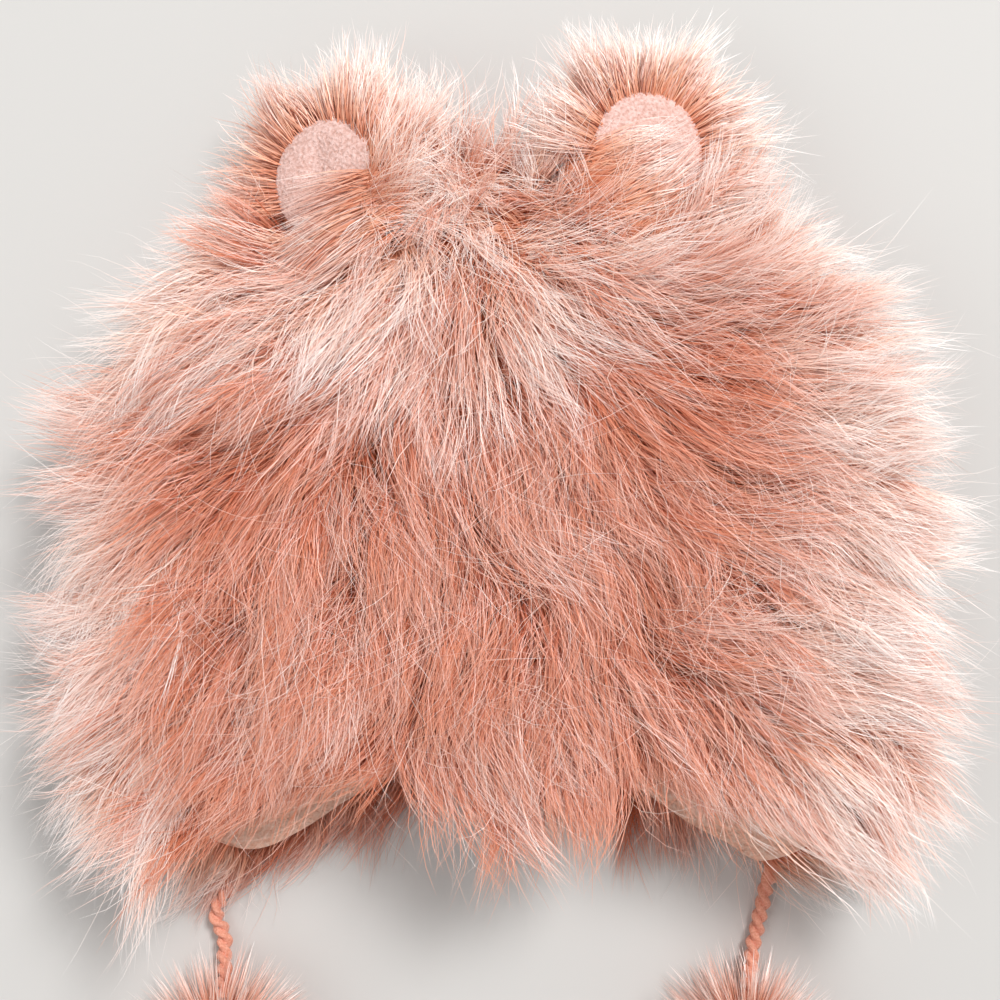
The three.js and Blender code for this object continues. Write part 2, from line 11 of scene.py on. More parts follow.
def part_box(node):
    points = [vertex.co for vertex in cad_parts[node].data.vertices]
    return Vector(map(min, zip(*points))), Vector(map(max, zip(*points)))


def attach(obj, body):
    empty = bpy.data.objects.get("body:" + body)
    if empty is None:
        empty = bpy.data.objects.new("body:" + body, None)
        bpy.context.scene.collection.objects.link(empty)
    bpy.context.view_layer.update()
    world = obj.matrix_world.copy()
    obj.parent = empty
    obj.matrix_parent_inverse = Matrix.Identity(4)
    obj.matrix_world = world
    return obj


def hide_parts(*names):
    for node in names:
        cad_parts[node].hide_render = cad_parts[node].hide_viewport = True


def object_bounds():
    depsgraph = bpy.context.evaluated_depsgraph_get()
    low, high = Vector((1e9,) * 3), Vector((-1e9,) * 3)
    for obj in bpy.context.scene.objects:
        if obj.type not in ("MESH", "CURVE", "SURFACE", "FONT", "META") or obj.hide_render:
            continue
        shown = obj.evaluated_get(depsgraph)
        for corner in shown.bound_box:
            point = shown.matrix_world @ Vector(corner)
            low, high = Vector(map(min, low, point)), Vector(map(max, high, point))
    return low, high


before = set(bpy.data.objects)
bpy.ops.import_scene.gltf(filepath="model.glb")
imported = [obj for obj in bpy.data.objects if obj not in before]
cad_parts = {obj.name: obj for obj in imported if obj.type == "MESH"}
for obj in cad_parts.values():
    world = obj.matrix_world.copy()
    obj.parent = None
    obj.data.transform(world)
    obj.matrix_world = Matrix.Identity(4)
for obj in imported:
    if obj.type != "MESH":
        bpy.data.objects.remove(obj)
cad_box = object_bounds()
BODY = "root"

# Sizes of the bag, the same as the solids have
HAT_LENGTH = 0.230
HALF_WIDTH = 0.122
HOLLOW_HALF_HEIGHT = 0.015
LINING_WALL = 0.0025
HIDE_WALL = 0.002
FIT_GAP = 0.0004
UNDERFUR = {"side": 0.005, "top": 0.006, "under": 0.008}
ROOT_RISE = 0.15  # where the strands root, as a share of the dense fur
SECTION_ROUNDNESS = 0.78
CROWN_FADE = 0.16

# The photograph's frame: metres to a pixel, and the pixel over the crown seam's middle
PHOTO_SCALE = 0.00033
PHOTO_WIDTH = 1000
CROWN_PIXEL = (495, 165)
CAMERA_LENS = 50.0
CAMERA_SENSOR = 36.0
PICTURE_HEIGHT = 0.035  # the level at which the photograph's scale holds

# The crown seam's middle in the row's frame
CROWN_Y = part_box("lining")[1][1] - LINING_WALL
CROWN_X = 0.0

# Sections of the hollow, down from the crown seam, as shares of the sizes above
SECTIONS = {
    "down": (0, 0.01, 0.03, 0.057, 0.108, 0.179, 0.265, 0.38, 0.51, 0.64, 0.77, 0.88, 0.97, 1.04),
    "left": (0.14, 0.28, 0.4, 0.5, 0.64, 0.775, 0.86, 0.92, 0.965, 1, 1.02, 1.01, 0.93, 0.84),
    "right": (0.14, 0.28, 0.41, 0.53, 0.68, 0.8, 0.895, 0.96, 0.99, 1, 1.01, 1.03, 0.98, 0.89),
    "rise": (0.14, 0.3, 0.42, 0.56, 0.72, 0.84, 0.93, 1, 1, 1, 0.95, 0.86, 0.76, 0.7),
}

# The hem from side to side: how far down the front and back layers reach
HEM = {
    "across": (-1, -0.9, -0.78, -0.6, -0.42, -0.25, 0, 0.25, 0.4, 0.55, 0.7, 0.82, 0.92, 1),
    "front": (
        0.897, 0.945, 0.945, 0.915, 0.872, 0.853, 0.852, 0.85, 0.862, 0.898, 0.931, 0.954, 0.952, 0.911,
    ),
    "back": (
        0.897, 0.971, 1.003, 0.977, 0.928, 0.884, 0.862, 0.873, 0.915, 0.963, 0.997, 1.02, 0.99, 0.911,
    ),
}

MEAN_HEM = 0.93
ROUND_EXTRA = 0.02  # what the bag's thickness adds to half its width

# Dents and partings of the front: across, down, turn in radians, and long, wide, deep as shares
DENTS = [
    (-0.66, 0.36, 2.7, 0.2, 0.07, 0.42),
    (0.28, 0.58, -0.9, 0.24, 0.06, 0.26),
    (0.44, 0.25, -0.05, 0.3, 0.06, 0.26),
    (-0.7, 0.85, 1.45, 0.16, 0.06, 0.3),
]

# Lie of the pile: where across and down, and the way that the tips point there
PILE_GUIDES = np.array([
    (-0.1, -0.02, 0.1, 1), (0.25, -0.03, 0.5, 0.85), (-0.3, -0.03, -0.3, 0.9), (0.08, -0.02, 0.2, 1),
    (-0.24, 0.09, -0.5, -0.85), (-0.12, 0.07, 0.1, -1), (0.0, 0.08, 0.1, -1), (0.08, 0.11, 0.6, -0.8),
    (-0.45, 0.08, -1, -0.08), (-0.66, 0.11, -1, -0.12), (-0.9, 0.16, -1, 0.05), (-0.32, 0.05, -1, 0.1),
    (-0.32, 0.12, -0.9, -0.4), (-0.18, 0.16, -0.3, -0.95), (-0.42, 0.22, -0.8, -0.7),
    (-0.65, 0.3, -0.95, -0.4), (-0.9, 0.45, -0.95, -0.35), (-0.68, 0.42, -0.55, -0.8),
    (-1, 0.7, -0.95, -0.4), (-0.95, 0.95, -0.6, -0.8), (-0.65, 0.62, -0.55, -0.85),
    (-0.5, 0.48, -0.1, -1), (-0.4, 0.68, -0.75, -0.75), (-0.3, 0.85, -0.4, -0.9),
    (-0.15, 0.25, -0.15, -1), (-0.1, 0.45, 0.15, -1), (-0.1, 0.62, -0.35, -1),
    (0, 0.85, 0.05, -1), (0.12, 0.05, 1, 0.12), (0.3, 0.12, 0.95, 0.25),
    (0.4, 0.06, 0.85, 0.5), (0.56, 0.02, 0.7, 0.7), (0.72, 0.1, 0.9, 0.4),
    (0.85, 0.2, 1, 0.12), (1, 0.3, 1, 0), (0.3, 0.24, 0.95, -0.35),
    (0.08, 0.34, 0.5, -0.85), (0.14, 0.52, 0.35, -0.95), (0.32, 0.5, 0.75, -0.65),
    (0.6, 0.32, 1, -0.15), (0.6, 0.5, 0.95, -0.35), (0.95, 0.45, 0.98, -0.2),
    (0.2, 0.7, 0.25, -0.95), (0.6, 0.7, 0.75, -0.65), (1, 0.7, 0.92, -0.4),
    (0.5, 0.9, 0.4, -0.9), (0.95, 0.95, 0.6, -0.8),
])
GUIDE_REACH = 0.09  # within which one guide alone rules

# The ears: across, down, and lean, roll, pitch in radians
EARS = {
    "left": (-0.44, 0.026, 0.1, -0.34, -0.22),
    "right": (0.402, -0.01, -0.16, 0.12, -0.18),
}
EAR_SIZE = np.array((0.022, 0.024, 0.006))
PATCH_SIZE = np.array((0.018, 0.020, 0.0026))
PATCH_CREASE = {"left": 0.0008, "right": 0.0005}  # how deep the fold down a patch's middle is
PATCH_DISH = 0.0009  # how far a patch's middle lies below its rim
CREASE_PLACE = -0.12
CREASE_SLANT = 0.1
CREASE_WIDTH = 0.19
PAD_SHARE = 0.95  # of the ear's size, under its hair
EAR_SEAT = 0.003
EAR_SEAT_DROP = 0.09  # where on the bag the ears' level is taken

# The ties, from the crown seam's middle, the same points as the solids have, in metres
TIE_DIAMETER = 0.005
TIES = {
    "left": (
        (-0.0962, -0.2220, 0.0094), (-0.0966, -0.2270, 0.0092), (-0.0968, -0.2310, 0.0086),
        (-0.0964, -0.2350, 0.0072), (-0.0954, -0.2386, 0.0054), (-0.0938, -0.2420, 0.0039),
        (-0.0933, -0.2453, 0.0031), (-0.0948, -0.2484, 0.0029), (-0.0970, -0.2516, 0.0029),
        (-0.0984, -0.2550, 0.0029), (-0.0982, -0.2586, 0.0029), (-0.0966, -0.2620, 0.0029),
        (-0.0956, -0.2654, 0.0031), (-0.0954, -0.2690, 0.0042), (-0.0950, -0.2726, 0.0064),
        (-0.0944, -0.2762, 0.0096), (-0.0940, -0.2794, 0.0130), (-0.0937, -0.2822, 0.0162),
    ),
    "right": (
        (0.0986, -0.2260, 0.0094), (0.0982, -0.2305, 0.0092), (0.0977, -0.2350, 0.0084),
        (0.0971, -0.2390, 0.0068), (0.0964, -0.2430, 0.0049), (0.0956, -0.2470, 0.0035),
        (0.0948, -0.2510, 0.0029), (0.0939, -0.2550, 0.0029), (0.0930, -0.2590, 0.0029),
        (0.0920, -0.2630, 0.0030), (0.0910, -0.2668, 0.0037), (0.0900, -0.2704, 0.0054),
        (0.0891, -0.2740, 0.0080), (0.0883, -0.2774, 0.0112), (0.0876, -0.2804, 0.0144),
        (0.0871, -0.2830, 0.0172),
    ),
}
PATH_STEPS = 8  # between two of these points
PLY_RADIUS = 0.34  # as a share of the tie's diameter
PLY_OFFSET = 0.68  # of a ply's middle, as a share of its radius
PLY_PITCH = 0.0095
PLY_SIDES = 14
RIDGES = 3
RIDGE_HEIGHT = 0.07
RIDGE_PITCH = 0.0016

# The pompoms: core and pile
POMPOM_CORE = 0.015
POMPOM_LEVEL = 0.017
POMPOM_PILE = 0.024
POMPOM_TUFT = 0.007
POMPOM_STRAND = 0.00034
POMPOM_WAVE = 0.0014
POMPOM_ROOT = 0.9  # where strands root, as a share of the core's radius
POMPOM_MAP = 0.02  # the radius of the globe that its tufts are laid out on

# Limits of the pile: the surface, and how far cloth may stand out from the solids' box
FLOOR_CLEAR = 0.0004
FLOOR_SOFT = 0.0015
CLOTH_MARGIN = 0.01
SIDE_MARGIN = 0.03
REACH_SPARE = 0.001
CAD_LOW, CAD_HIGH = (np.array(corner, float) for corner in cad_box)
REACH_MARGIN = SIDE_MARGIN * (CAD_HIGH - CAD_LOW) + CLOTH_MARGIN - REACH_SPARE
REACH_LOW = CAD_LOW - REACH_MARGIN
REACH_HIGH = CAD_HIGH + REACH_MARGIN
SHARE = 1.0  # of the strands, while trying things


# Tables and the wall

def column(table, key, name, place):
    """A table's column at places along its key, on a smooth curve through the rows."""
    keys = np.array(table[key], float)
    values = np.array(table[name], float)
    low = np.maximum(np.arange(len(keys)) - 1, 0)
    high = np.minimum(np.arange(len(keys)) + 1, len(keys) - 1)
    slopes = (values[high] - values[low]) / (keys[high] - keys[low])
    i = np.clip(np.searchsorted(keys, place, side="right") - 1, 0, len(keys) - 2)
    span = keys[i + 1] - keys[i]
    t = np.clip((place - keys[i]) / span, 0, 1)
    return (
        (2 * t**3 - 3 * t**2 + 1) * values[i] + (t**3 - 2 * t**2 + t) * span * slopes[i]
        + (3 * t**2 - 2 * t**3) * values[i + 1] + (t**3 - t**2) * span * slopes[i + 1]
    )


def fade(share):
    t = np.clip(share, 0, 1)
    return t * t * (3 - 2 * t)


def unit(vectors):
    return vectors / np.maximum(np.linalg.norm(vectors, axis=-1, keepdims=True), 1e-12)


def dot(a, b):
    return np.sum(a * b, axis=-1, keepdims=True)


def layer(base, share=0.0):
    """Distances outside the hollow: base, and a share of the dense fur over the hide."""
    return {side: base + share * UNDERFUR[side] for side in UNDERFUR}


HOLLOW = layer(0.0)
LINING_FACE = layer(LINING_WALL)
HIDE_INNER = layer(LINING_WALL + FIT_GAP)
HIDE_OUTER = layer(LINING_WALL + FIT_GAP + HIDE_WALL)
FUR_FACE = layer(LINING_WALL + FIT_GAP + HIDE_WALL, 1.0)
PILE_ROOT = layer(LINING_WALL + FIT_GAP + HIDE_WALL, ROOT_RISE)


def dent_depth(across, down):
    depth = np.zeros_like(across)
    for at_across, at_down, turn, long, wide, deep in DENTS:
        x = (across - at_across) * HALF_WIDTH
        y = (at_down - down) * HAT_LENGTH
        u = (x * math.cos(turn) + y * math.sin(turn)) / (long * HAT_LENGTH)
        v = (y * math.cos(turn) - x * math.sin(turn)) / (wide * HAT_LENGTH)
        depth = depth + deep * HOLLOW_HALF_HEIGHT * np.exp(-4 * u * u - 2 * v * v)
    return depth


def wall(drop, turn, out):
    """Points of a layer: drop runs from the crown seam to the hem, turn round the section."""
    def square(value):
        return np.sign(value) * np.abs(value) ** SECTION_ROUNDNESS

    across = square(np.cos(turn))
    up = square(np.sin(turn))
    front = up >= 0
    hem = np.where(
        front, column(HEM, "across", "front", across), column(HEM, "across", "back", across)
    )
    down = drop * hem
    half = HALF_WIDTH * np.where(
        across < 0, column(SECTIONS, "down", "left", down), column(SECTIONS, "down", "right", down)
    )
    rise = HOLLOW_HALF_HEIGHT * column(SECTIONS, "down", "rise", down)
    dent = dent_depth(across * half / HALF_WIDTH, down) * fade(up * 2) * (up > 0)
    x = across * (half + out["side"])
    y = out["top"] * (1 - fade(down / CROWN_FADE)) - down * HAT_LENGTH
    z = FUR_FACE["under"] + rise
    z = z + np.where(front, up * (rise + out["top"]) - dent, up * (rise + out["under"]))
    return np.stack((x + CROWN_X, y + CROWN_Y, z), axis=-1)


def wall_normal(drop, turn, out):
    step = 0.01
    low = wall(np.maximum(drop - step, 0), turn, out)
    high = wall(np.minimum(drop + step, 1), turn, out)
    before = wall(drop, turn - step, out)
    after = wall(drop, turn + step, out)
    normal = unit(np.cross(after - before, high - low))
    outward = np.stack((np.cos(turn), np.zeros_like(turn), np.sin(turn)), axis=-1)
    return np.where(dot(normal, outward) < 0, -normal, normal)


def ring_turns():
    """Turns from the front's middle to the back's middle, even along the section."""
    turns = np.linspace(math.pi / 2, -math.pi / 2, 721)
    points = wall(np.full_like(turns, 0.6), turns, HIDE_OUTER)
    steps = np.linalg.norm(np.diff(points[:, [0, 2]], axis=0), axis=1)
    run = np.concatenate(([0], np.cumsum(steps)))
    side = np.interp(0, -turns, run)
    back = run[-1] - side
    shares = np.where(run < side, run / side, 1 + (run - side) / back)
    return shares, turns


RING_SHARES, RING_TURNS = ring_turns()


def turn_of(ring):
    """The turn at a share round the bag: 0 the front's middle, 1 a side, 2 the back's middle."""
    turn = np.interp(np.abs(ring), RING_SHARES, RING_TURNS)
    return np.where(ring < 0, math.pi - turn, turn)


def half_round(drop):
    """About half the front's width, measured on the hide."""
    return HALF_WIDTH * column(SECTIONS, "down", "right", drop * MEAN_HEM) + ROUND_EXTRA


def pile_way(points):
    """The way that the tips point at places, in the plane that the hat lies on."""
    across = (points[:, 0] - CROWN_X) / HALF_WIDTH
    down = (CROWN_Y - points[:, 1]) / HAT_LENGTH
    x = across[:, None] - PILE_GUIDES[None, :, 0]
    y = (down[:, None] - PILE_GUIDES[None, :, 1]) * HAT_LENGTH / HALF_WIDTH
    weight = 1 / (x * x + y * y + GUIDE_REACH**2) ** 2
    ways = PILE_GUIDES[:, 2:] / np.linalg.norm(PILE_GUIDES[:, 2:], axis=1)[:, None]
    way = weight @ ways
    return unit(np.concatenate((way, np.zeros((len(way), 1))), axis=1))


# Noise

def hashed(cells, seed):
    """Even random numbers from whole-number cells, always the same for a cell."""
    x = cells[..., 0].astype(np.int64)
    y = cells[..., 1].astype(np.int64)
    h = (x * 374761393 + y * 668265263 + seed * 2147483647) & 0xFFFFFFFF
    h = ((h ^ (h >> 13)) * 1274126177) & 0xFFFFFFFF
    h = ((h ^ (h >> 16)) * 2246822519) & 0xFFFFFFFF
    return ((h ^ (h >> 15)) & 0xFFFFFF) / 0x1000000


def waves(points, size, seed, count=5):
    """A smooth random field of about -1 to 1, whose hills are about `size` apart."""
    rng = np.random.default_rng(seed)
    field = np.zeros(len(points))
    for _ in range(count):
        way = unit(rng.normal(size=points.shape[1]))
        pace = 2 * math.pi / (size * rng.uniform(0.7, 1.6))
        field += np.sin(points @ way * pace + rng.uniform(0, 2 * math.pi))
    return field / math.sqrt(count)


def nearest_cell(flat, size, seed):
    """The jittered grid point nearest to each flat point, and its random numbers."""
    cell = np.floor(flat / size)
    best = np.full(len(flat), np.inf)
    centre = np.zeros_like(flat)
    luck = np.zeros((len(flat), 3))
    for dx in (-1, 0, 1):
        for dy in (-1, 0, 1):
            other = cell + (dx, dy)
            jitter = np.stack((hashed(other, seed), hashed(other, seed + 1)), axis=-1)
            place = (other + jitter) * size
            far = np.sum((place - flat) ** 2, axis=1)
            nearer = far < best
            best = np.where(nearer, far, best)
            centre[nearer] = place[nearer]
            for i in range(3):
                luck[nearer, i] = hashed(other[nearer], seed + 2 + i)
    return centre, luck


# Strands

TAPER = 0.75  # of a strand's width, lost towards its tip
TAPER_POWER = 1.6
MAP_EDGE, MAP_SPAN = 0.01, 0.98  # the part of the map in use
MAP_HALF = 0.004  # half a strand's width in the map


def bow(root, start, finish, length, segments):
    """Lines that leave their roots along start and bend round to finish."""
    t = np.linspace(0, 1, segments + 1)[None, :, None]
    run = start[:, None] * (t - t * t / 2) + finish[:, None] * (t * t / 2)
    return root[:, None] + length[:, None, None] * run


def off_floor(lines):
    """Bends lines that would go under the surface so that they lie along it."""
    over = (lines[..., 2] - FLOOR_CLEAR) / FLOOR_SOFT
    rounded = np.log1p(np.exp(np.clip(over, -30, 30)))
    lines[..., 2] = FLOOR_CLEAR + FLOOR_SOFT * np.where(over > 30, over, rounded)
    return lines


def shortened(lines, share):
    """Lines cut to a share of their run from the root."""
    root = lines[:, :1]
    return root + (lines - root) * share[:, None, None]


def in_reach(lines):
    """Shortens strands that would stand further out than cloth may."""
    root = lines[:, :1]
    run = lines - root
    high = np.max(run, axis=1)
    low = np.min(run, axis=1)
    share = np.ones(len(lines))
    for axis in range(3):
        room_high = REACH_HIGH[axis] - root[:, 0, axis]
        room_low = root[:, 0, axis] - REACH_LOW[axis]
        share = np.minimum(share, room_high / np.maximum(high[:, axis], 1e-9))
        share = np.minimum(share, room_low / np.maximum(-low[:, axis], 1e-9))
    return shortened(lines, share)


def turned(ways, angle):
    """Directions turned about the vertical."""
    c, s = np.cos(angle), np.sin(angle)
    x = ways[:, 0] * c - ways[:, 1] * s
    y = ways[:, 0] * s + ways[:, 1] * c
    return np.stack((x, y, ways[:, 2]), axis=-1)


def new_object(name, data):
    """A new object in the scene."""
    obj = bpy.data.objects.new(name, data)
    bpy.context.scene.collection.objects.link(obj)
    return obj


def new_piece(name, mesh, look):
    """A smooth piece on the hat's one body, in its material slot."""
    mesh.shade_smooth()
    obj = new_object(name, mesh)
    mesh.materials.append(look)
    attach(obj, BODY)
    return obj


def ribbons(name, lines, facing, width, tone):
    """Flat tapered strands along lines, mapped by tone and by how far along they are."""
    count, places = lines.shape[:2]
    steps = np.linspace(0, 1, places)
    ends = lines[:, 1:] - lines[:, :-1]
    tangent = unit(np.concatenate((ends, ends[:, -1:]), axis=1))
    side = unit(np.cross(tangent, facing[:, None]))
    taper = (1 - steps[:-1] ** TAPER_POWER * TAPER)[None, :, None]
    half = side[:, :-1] * (width[:, None, None] / 2) * taper
    pairs = np.stack((lines[:, :-1] - half, lines[:, :-1] + half), axis=2)
    points = np.concatenate((pairs.reshape(count, -1, 3), lines[:, -1:]), axis=1)
    per = points.shape[1]
    quads = [(2 * i, 2 * i + 1, 2 * i + 3, 2 * i + 2) for i in range(places - 2)]
    corners = np.array([c for quad in quads for c in quad] + [per - 3, per - 2, per - 1])
    loops = (np.arange(count)[:, None] * per + corners).ravel()
    sizes = np.tile([4] * len(quads) + [3], count)
    mesh = bpy.data.meshes.new(name)
    mesh.vertices.add(count * per)
    mesh.vertices.foreach_set("co", points.astype(np.float32).ravel())
    mesh.loops.add(len(loops))
    mesh.loops.foreach_set("vertex_index", loops.astype(np.int32))
    mesh.polygons.add(len(sizes))
    starts = np.concatenate(([0], np.cumsum(sizes)[:-1]))
    mesh.polygons.foreach_set("loop_start", starts.astype(np.int32))
    mesh.update(calc_edges=True)
    u = np.concatenate((np.tile([-1.0, 1.0], places - 1), [0.0]))
    v = np.concatenate((np.repeat(steps[:-1], 2), [1.0]))
    tones = MAP_EDGE + MAP_SPAN * np.clip(tone, 0, 1)
    map_u = tones[:, None] + MAP_HALF * u[None, :]
    map_v = np.broadcast_to(MAP_EDGE + MAP_SPAN * v[None, :], map_u.shape)
    uv = np.stack((map_u, map_v), axis=-1).reshape(-1, 2)[loops]
    mesh.uv_layers.new(name="OFBake").data.foreach_set("uv", uv.astype(np.float32).ravel())
    return new_piece(name, mesh, fur_look)


def split_ribbons(names, lines, facing, width, tone):
    """Ribbons in several pieces of like size, from left to right."""
    order = np.argsort(lines[:, 0, 0], kind="stable")
    return [
        ribbons(name, lines[part], facing[part], width[part], tone[part])
        for name, part in zip(names, np.array_split(order, len(names)))
    ]


def wavy(lines, side, height, phase, pace):
    """Lines with a wave across them that grows towards their tips."""
    t = np.linspace(0, 1, lines.shape[1])[None, :]
    wave = (np.sin(phase[:, None] + pace[:, None] * t) - np.sin(phase)[:, None]) * t
    return lines + side[:, None] * (height[:, None] * wave)[..., None]


# How the bag's pile grows

LOCK = 0.021  # how far apart locks are
TUFT = 0.0055  # how far apart the tufts in a lock are
COATS = {
    "under": {
        "segments": 3, "length": (0.019, 0.028), "width": 0.00042, "lift": 0.75, "droop": 0.05,
        "pull_tuft": (0.0, 0.5), "pull_lock": 0.0, "wave": 0.0006, "pace": (4.0, 7.0),
        "bend": 0.3, "loose": 0.0, "tone": -0.3,
    },
    "outer": {
        "segments": 5, "length": (0.029, 0.053), "width": 0.00029, "lift": 0.62, "droop": 0.12,
        "pull_tuft": (0.6, 0.97), "pull_lock": 0.45, "wave": 0.0021, "pace": (3.5, 6.5),
        "bend": 0.8, "loose": 0.08, "tone": 0.0,
    },
    "wisp": {
        "segments": 7, "length": (0.034, 0.056), "width": 0.00019, "lift": 0.75, "droop": 0.1,
        "pull_tuft": (0.0, 0.3), "pull_lock": 0.0, "wave": 0.005, "pace": (1.5, 4.0),
        "bend": 0.8, "loose": 1.0, "tone": 0.35,
    },
    "crown": {
        "segments": 5, "length": (0.016, 0.03), "width": 0.00024, "lift": 0.8, "droop": 0.1,
        "pull_tuft": (0.6, 0.95), "pull_lock": 0.3, "wave": 0.002, "pace": (3.0, 5.0),
        "bend": 1.3, "loose": 0.1, "tone": 0.12,
    },
}
EAR_CLEAR = 0.95  # how near to an ear's rim the bag's pile comes, as a share of its size
LEAST_SHARE = 0.12  # the least of a strand that any cut leaves
HEM_OVERHANG = 0.001  # how far past the hem the trimmed pile reaches over the flaps
LONG_OVERHANG = 0.014  # how much further some of it reaches
FLAP_SPANS = ((-0.8, -0.28), (0.38, 0.85))  # where across the flaps are
FLAP_SOFT = 0.1
LOCK_SEED = 11
TUFT_SEED = 29
WIDE_WAVE = 0.05  # how far apart the pile's slow changes of lie and tone are
SMALL_WAVE = 0.024
WHORL = {"across": -0.08, "down": 0.06, "wide": 0.3, "high": 0.07}  # where the pile parts


def places(points):
    """Where points are, across and down, as shares of the hat's sizes."""
    return (points[:, 0] - CROWN_X) / HALF_WIDTH, (CROWN_Y - points[:, 1]) / HAT_LENGTH


def window(value, low, high, soft):
    return fade((value - low + soft) / soft) * fade((high - value + soft) / soft)


def dent_share(root):
    """How deep in a dent of the front points are, from 0 to about 1."""
    across, down = places(root)
    return np.clip(dent_depth(across, down) / (0.35 * HOLLOW_HALF_HEIGHT), 0, 1.2)


def length_share(root, normal):
    """The pile is shorter at the sides, the crown's top and ends, in dents and under the hat."""
    across, down = places(root)
    side = 1 - 0.2 * fade((np.abs(across) - 0.75) / 0.3)
    top = 1 - 0.3 * fade((0.06 - down) / 0.06)
    shoulder = 1 - 0.35 * fade((np.abs(across) - 0.4) / 0.25) * fade((0.24 - down) / 0.1)
    dent = 1 - 0.25 * dent_share(root)
    return side * top * shoulder * dent * np.where(normal[:, 2] < -0.3, 0.75, 1.0)


def trim_at_hem(lines, overhang):
    """Shortens the pile over the flaps, so that the fleece inside shows below the hem."""
    root, tip = lines[:, 0], lines[:, -1]
    across, _ = places(tip)
    flap = np.max([window(across, low, high, FLAP_SOFT) for low, high in FLAP_SPANS], axis=0)
    hem = CROWN_Y - column(HEM, "across", "front", across) * HAT_LENGTH - overhang
    share = (root[:, 1] - hem) / np.maximum(root[:, 1] - tip[:, 1], 0.001)
    share = np.where(tip[:, 1] < hem, np.clip(share, LEAST_SHARE, 1), 1)
    return shortened(lines, 1 - flap * (1 - share))


def clear_of_ears(lines):
    """Shortens strands that would run under an ear or through it."""
    count, places_along = lines.shape[:2]
    share = np.ones(count)
    for side in EARS:
        matrix = ear_matrix(side)
        local = (lines.reshape(-1, 3) - np.array(matrix.translation)) @ np.array(matrix.to_3x3())
        reach = np.hypot(local[:, 0] / EAR_SIZE[0], local[:, 1] / EAR_SIZE[1])
        under = (reach < EAR_CLEAR) & (local[:, 2] < EAR_SIZE[2] + PATCH_SIZE[2])
        under = under.reshape(count, places_along)
        first = np.argmax(under, axis=1)
        cut = np.maximum((first - 0.5) / (places_along - 1), LEAST_SHARE)
        share = np.where(under.any(axis=1), np.minimum(share, cut), share)
    return shortened(lines, share)


def sweep_bend(root):
    """How much the locks curve up towards the right ear."""
    across, down = places(root)
    return 0.55 * window(across, 0.12, 0.62, 0.2) * window(down, 0.0, 0.13, 0.06)


def tousle(root):
    """How much the locks lie every way, most where the pile parts below the crown's seam."""
    across, down = places(root)
    x = (across - WHORL["across"]) / WHORL["wide"]
    y = (down - WHORL["down"]) / WHORL["high"]
    return np.exp(-x * x - y * y)


def outer_band(root):
    across, down = places(root)
    return np.maximum(fade((np.abs(across) - 0.6) / 0.3), fade((down - 0.78) / 0.15))


def painted_shade_tone(root):
    """Painted shade on the front: darker in its middle and in its dents, where the pile lies in shade,
    and paler round the outer band.
    """
    across, down = places(root)
    middle = window(across, -0.6, 0.4, 0.35) * window(down, 0.36, 0.95, 0.2)
    return 0.1 - 0.72 * middle + 0.32 * outer_band(root) * (1 - middle) - 0.5 * dent_share(root)


def bag_lie(drop, ring, twist, bend, lift, droop):
    """Roots, normals and directions of the pile at places on the bag."""
    turn = turn_of(ring)
    root = wall(drop, turn, PILE_ROOT)
    normal = wall_normal(drop, turn, PILE_ROOT)
    way = pile_way(root)
    leave, arrive = (
        unit(ways - np.minimum(dot(ways, normal), 0) * normal)
        for ways in (turned(way, twist - bend), turned(way, twist + bend))
    )
    lift = np.where(normal[:, 2] < -0.2, lift * 0.25, lift)[:, None]
    start = unit(leave + lift * normal)
    edge = 1 - np.clip(normal[:, 2:], 0, 1)
    fall = np.array((0, 0, -1.0)) * droop * (0.4 + 1.4 * edge)
    finish = unit(arrive + 0.08 * normal + fall)
    return root, normal, start, finish


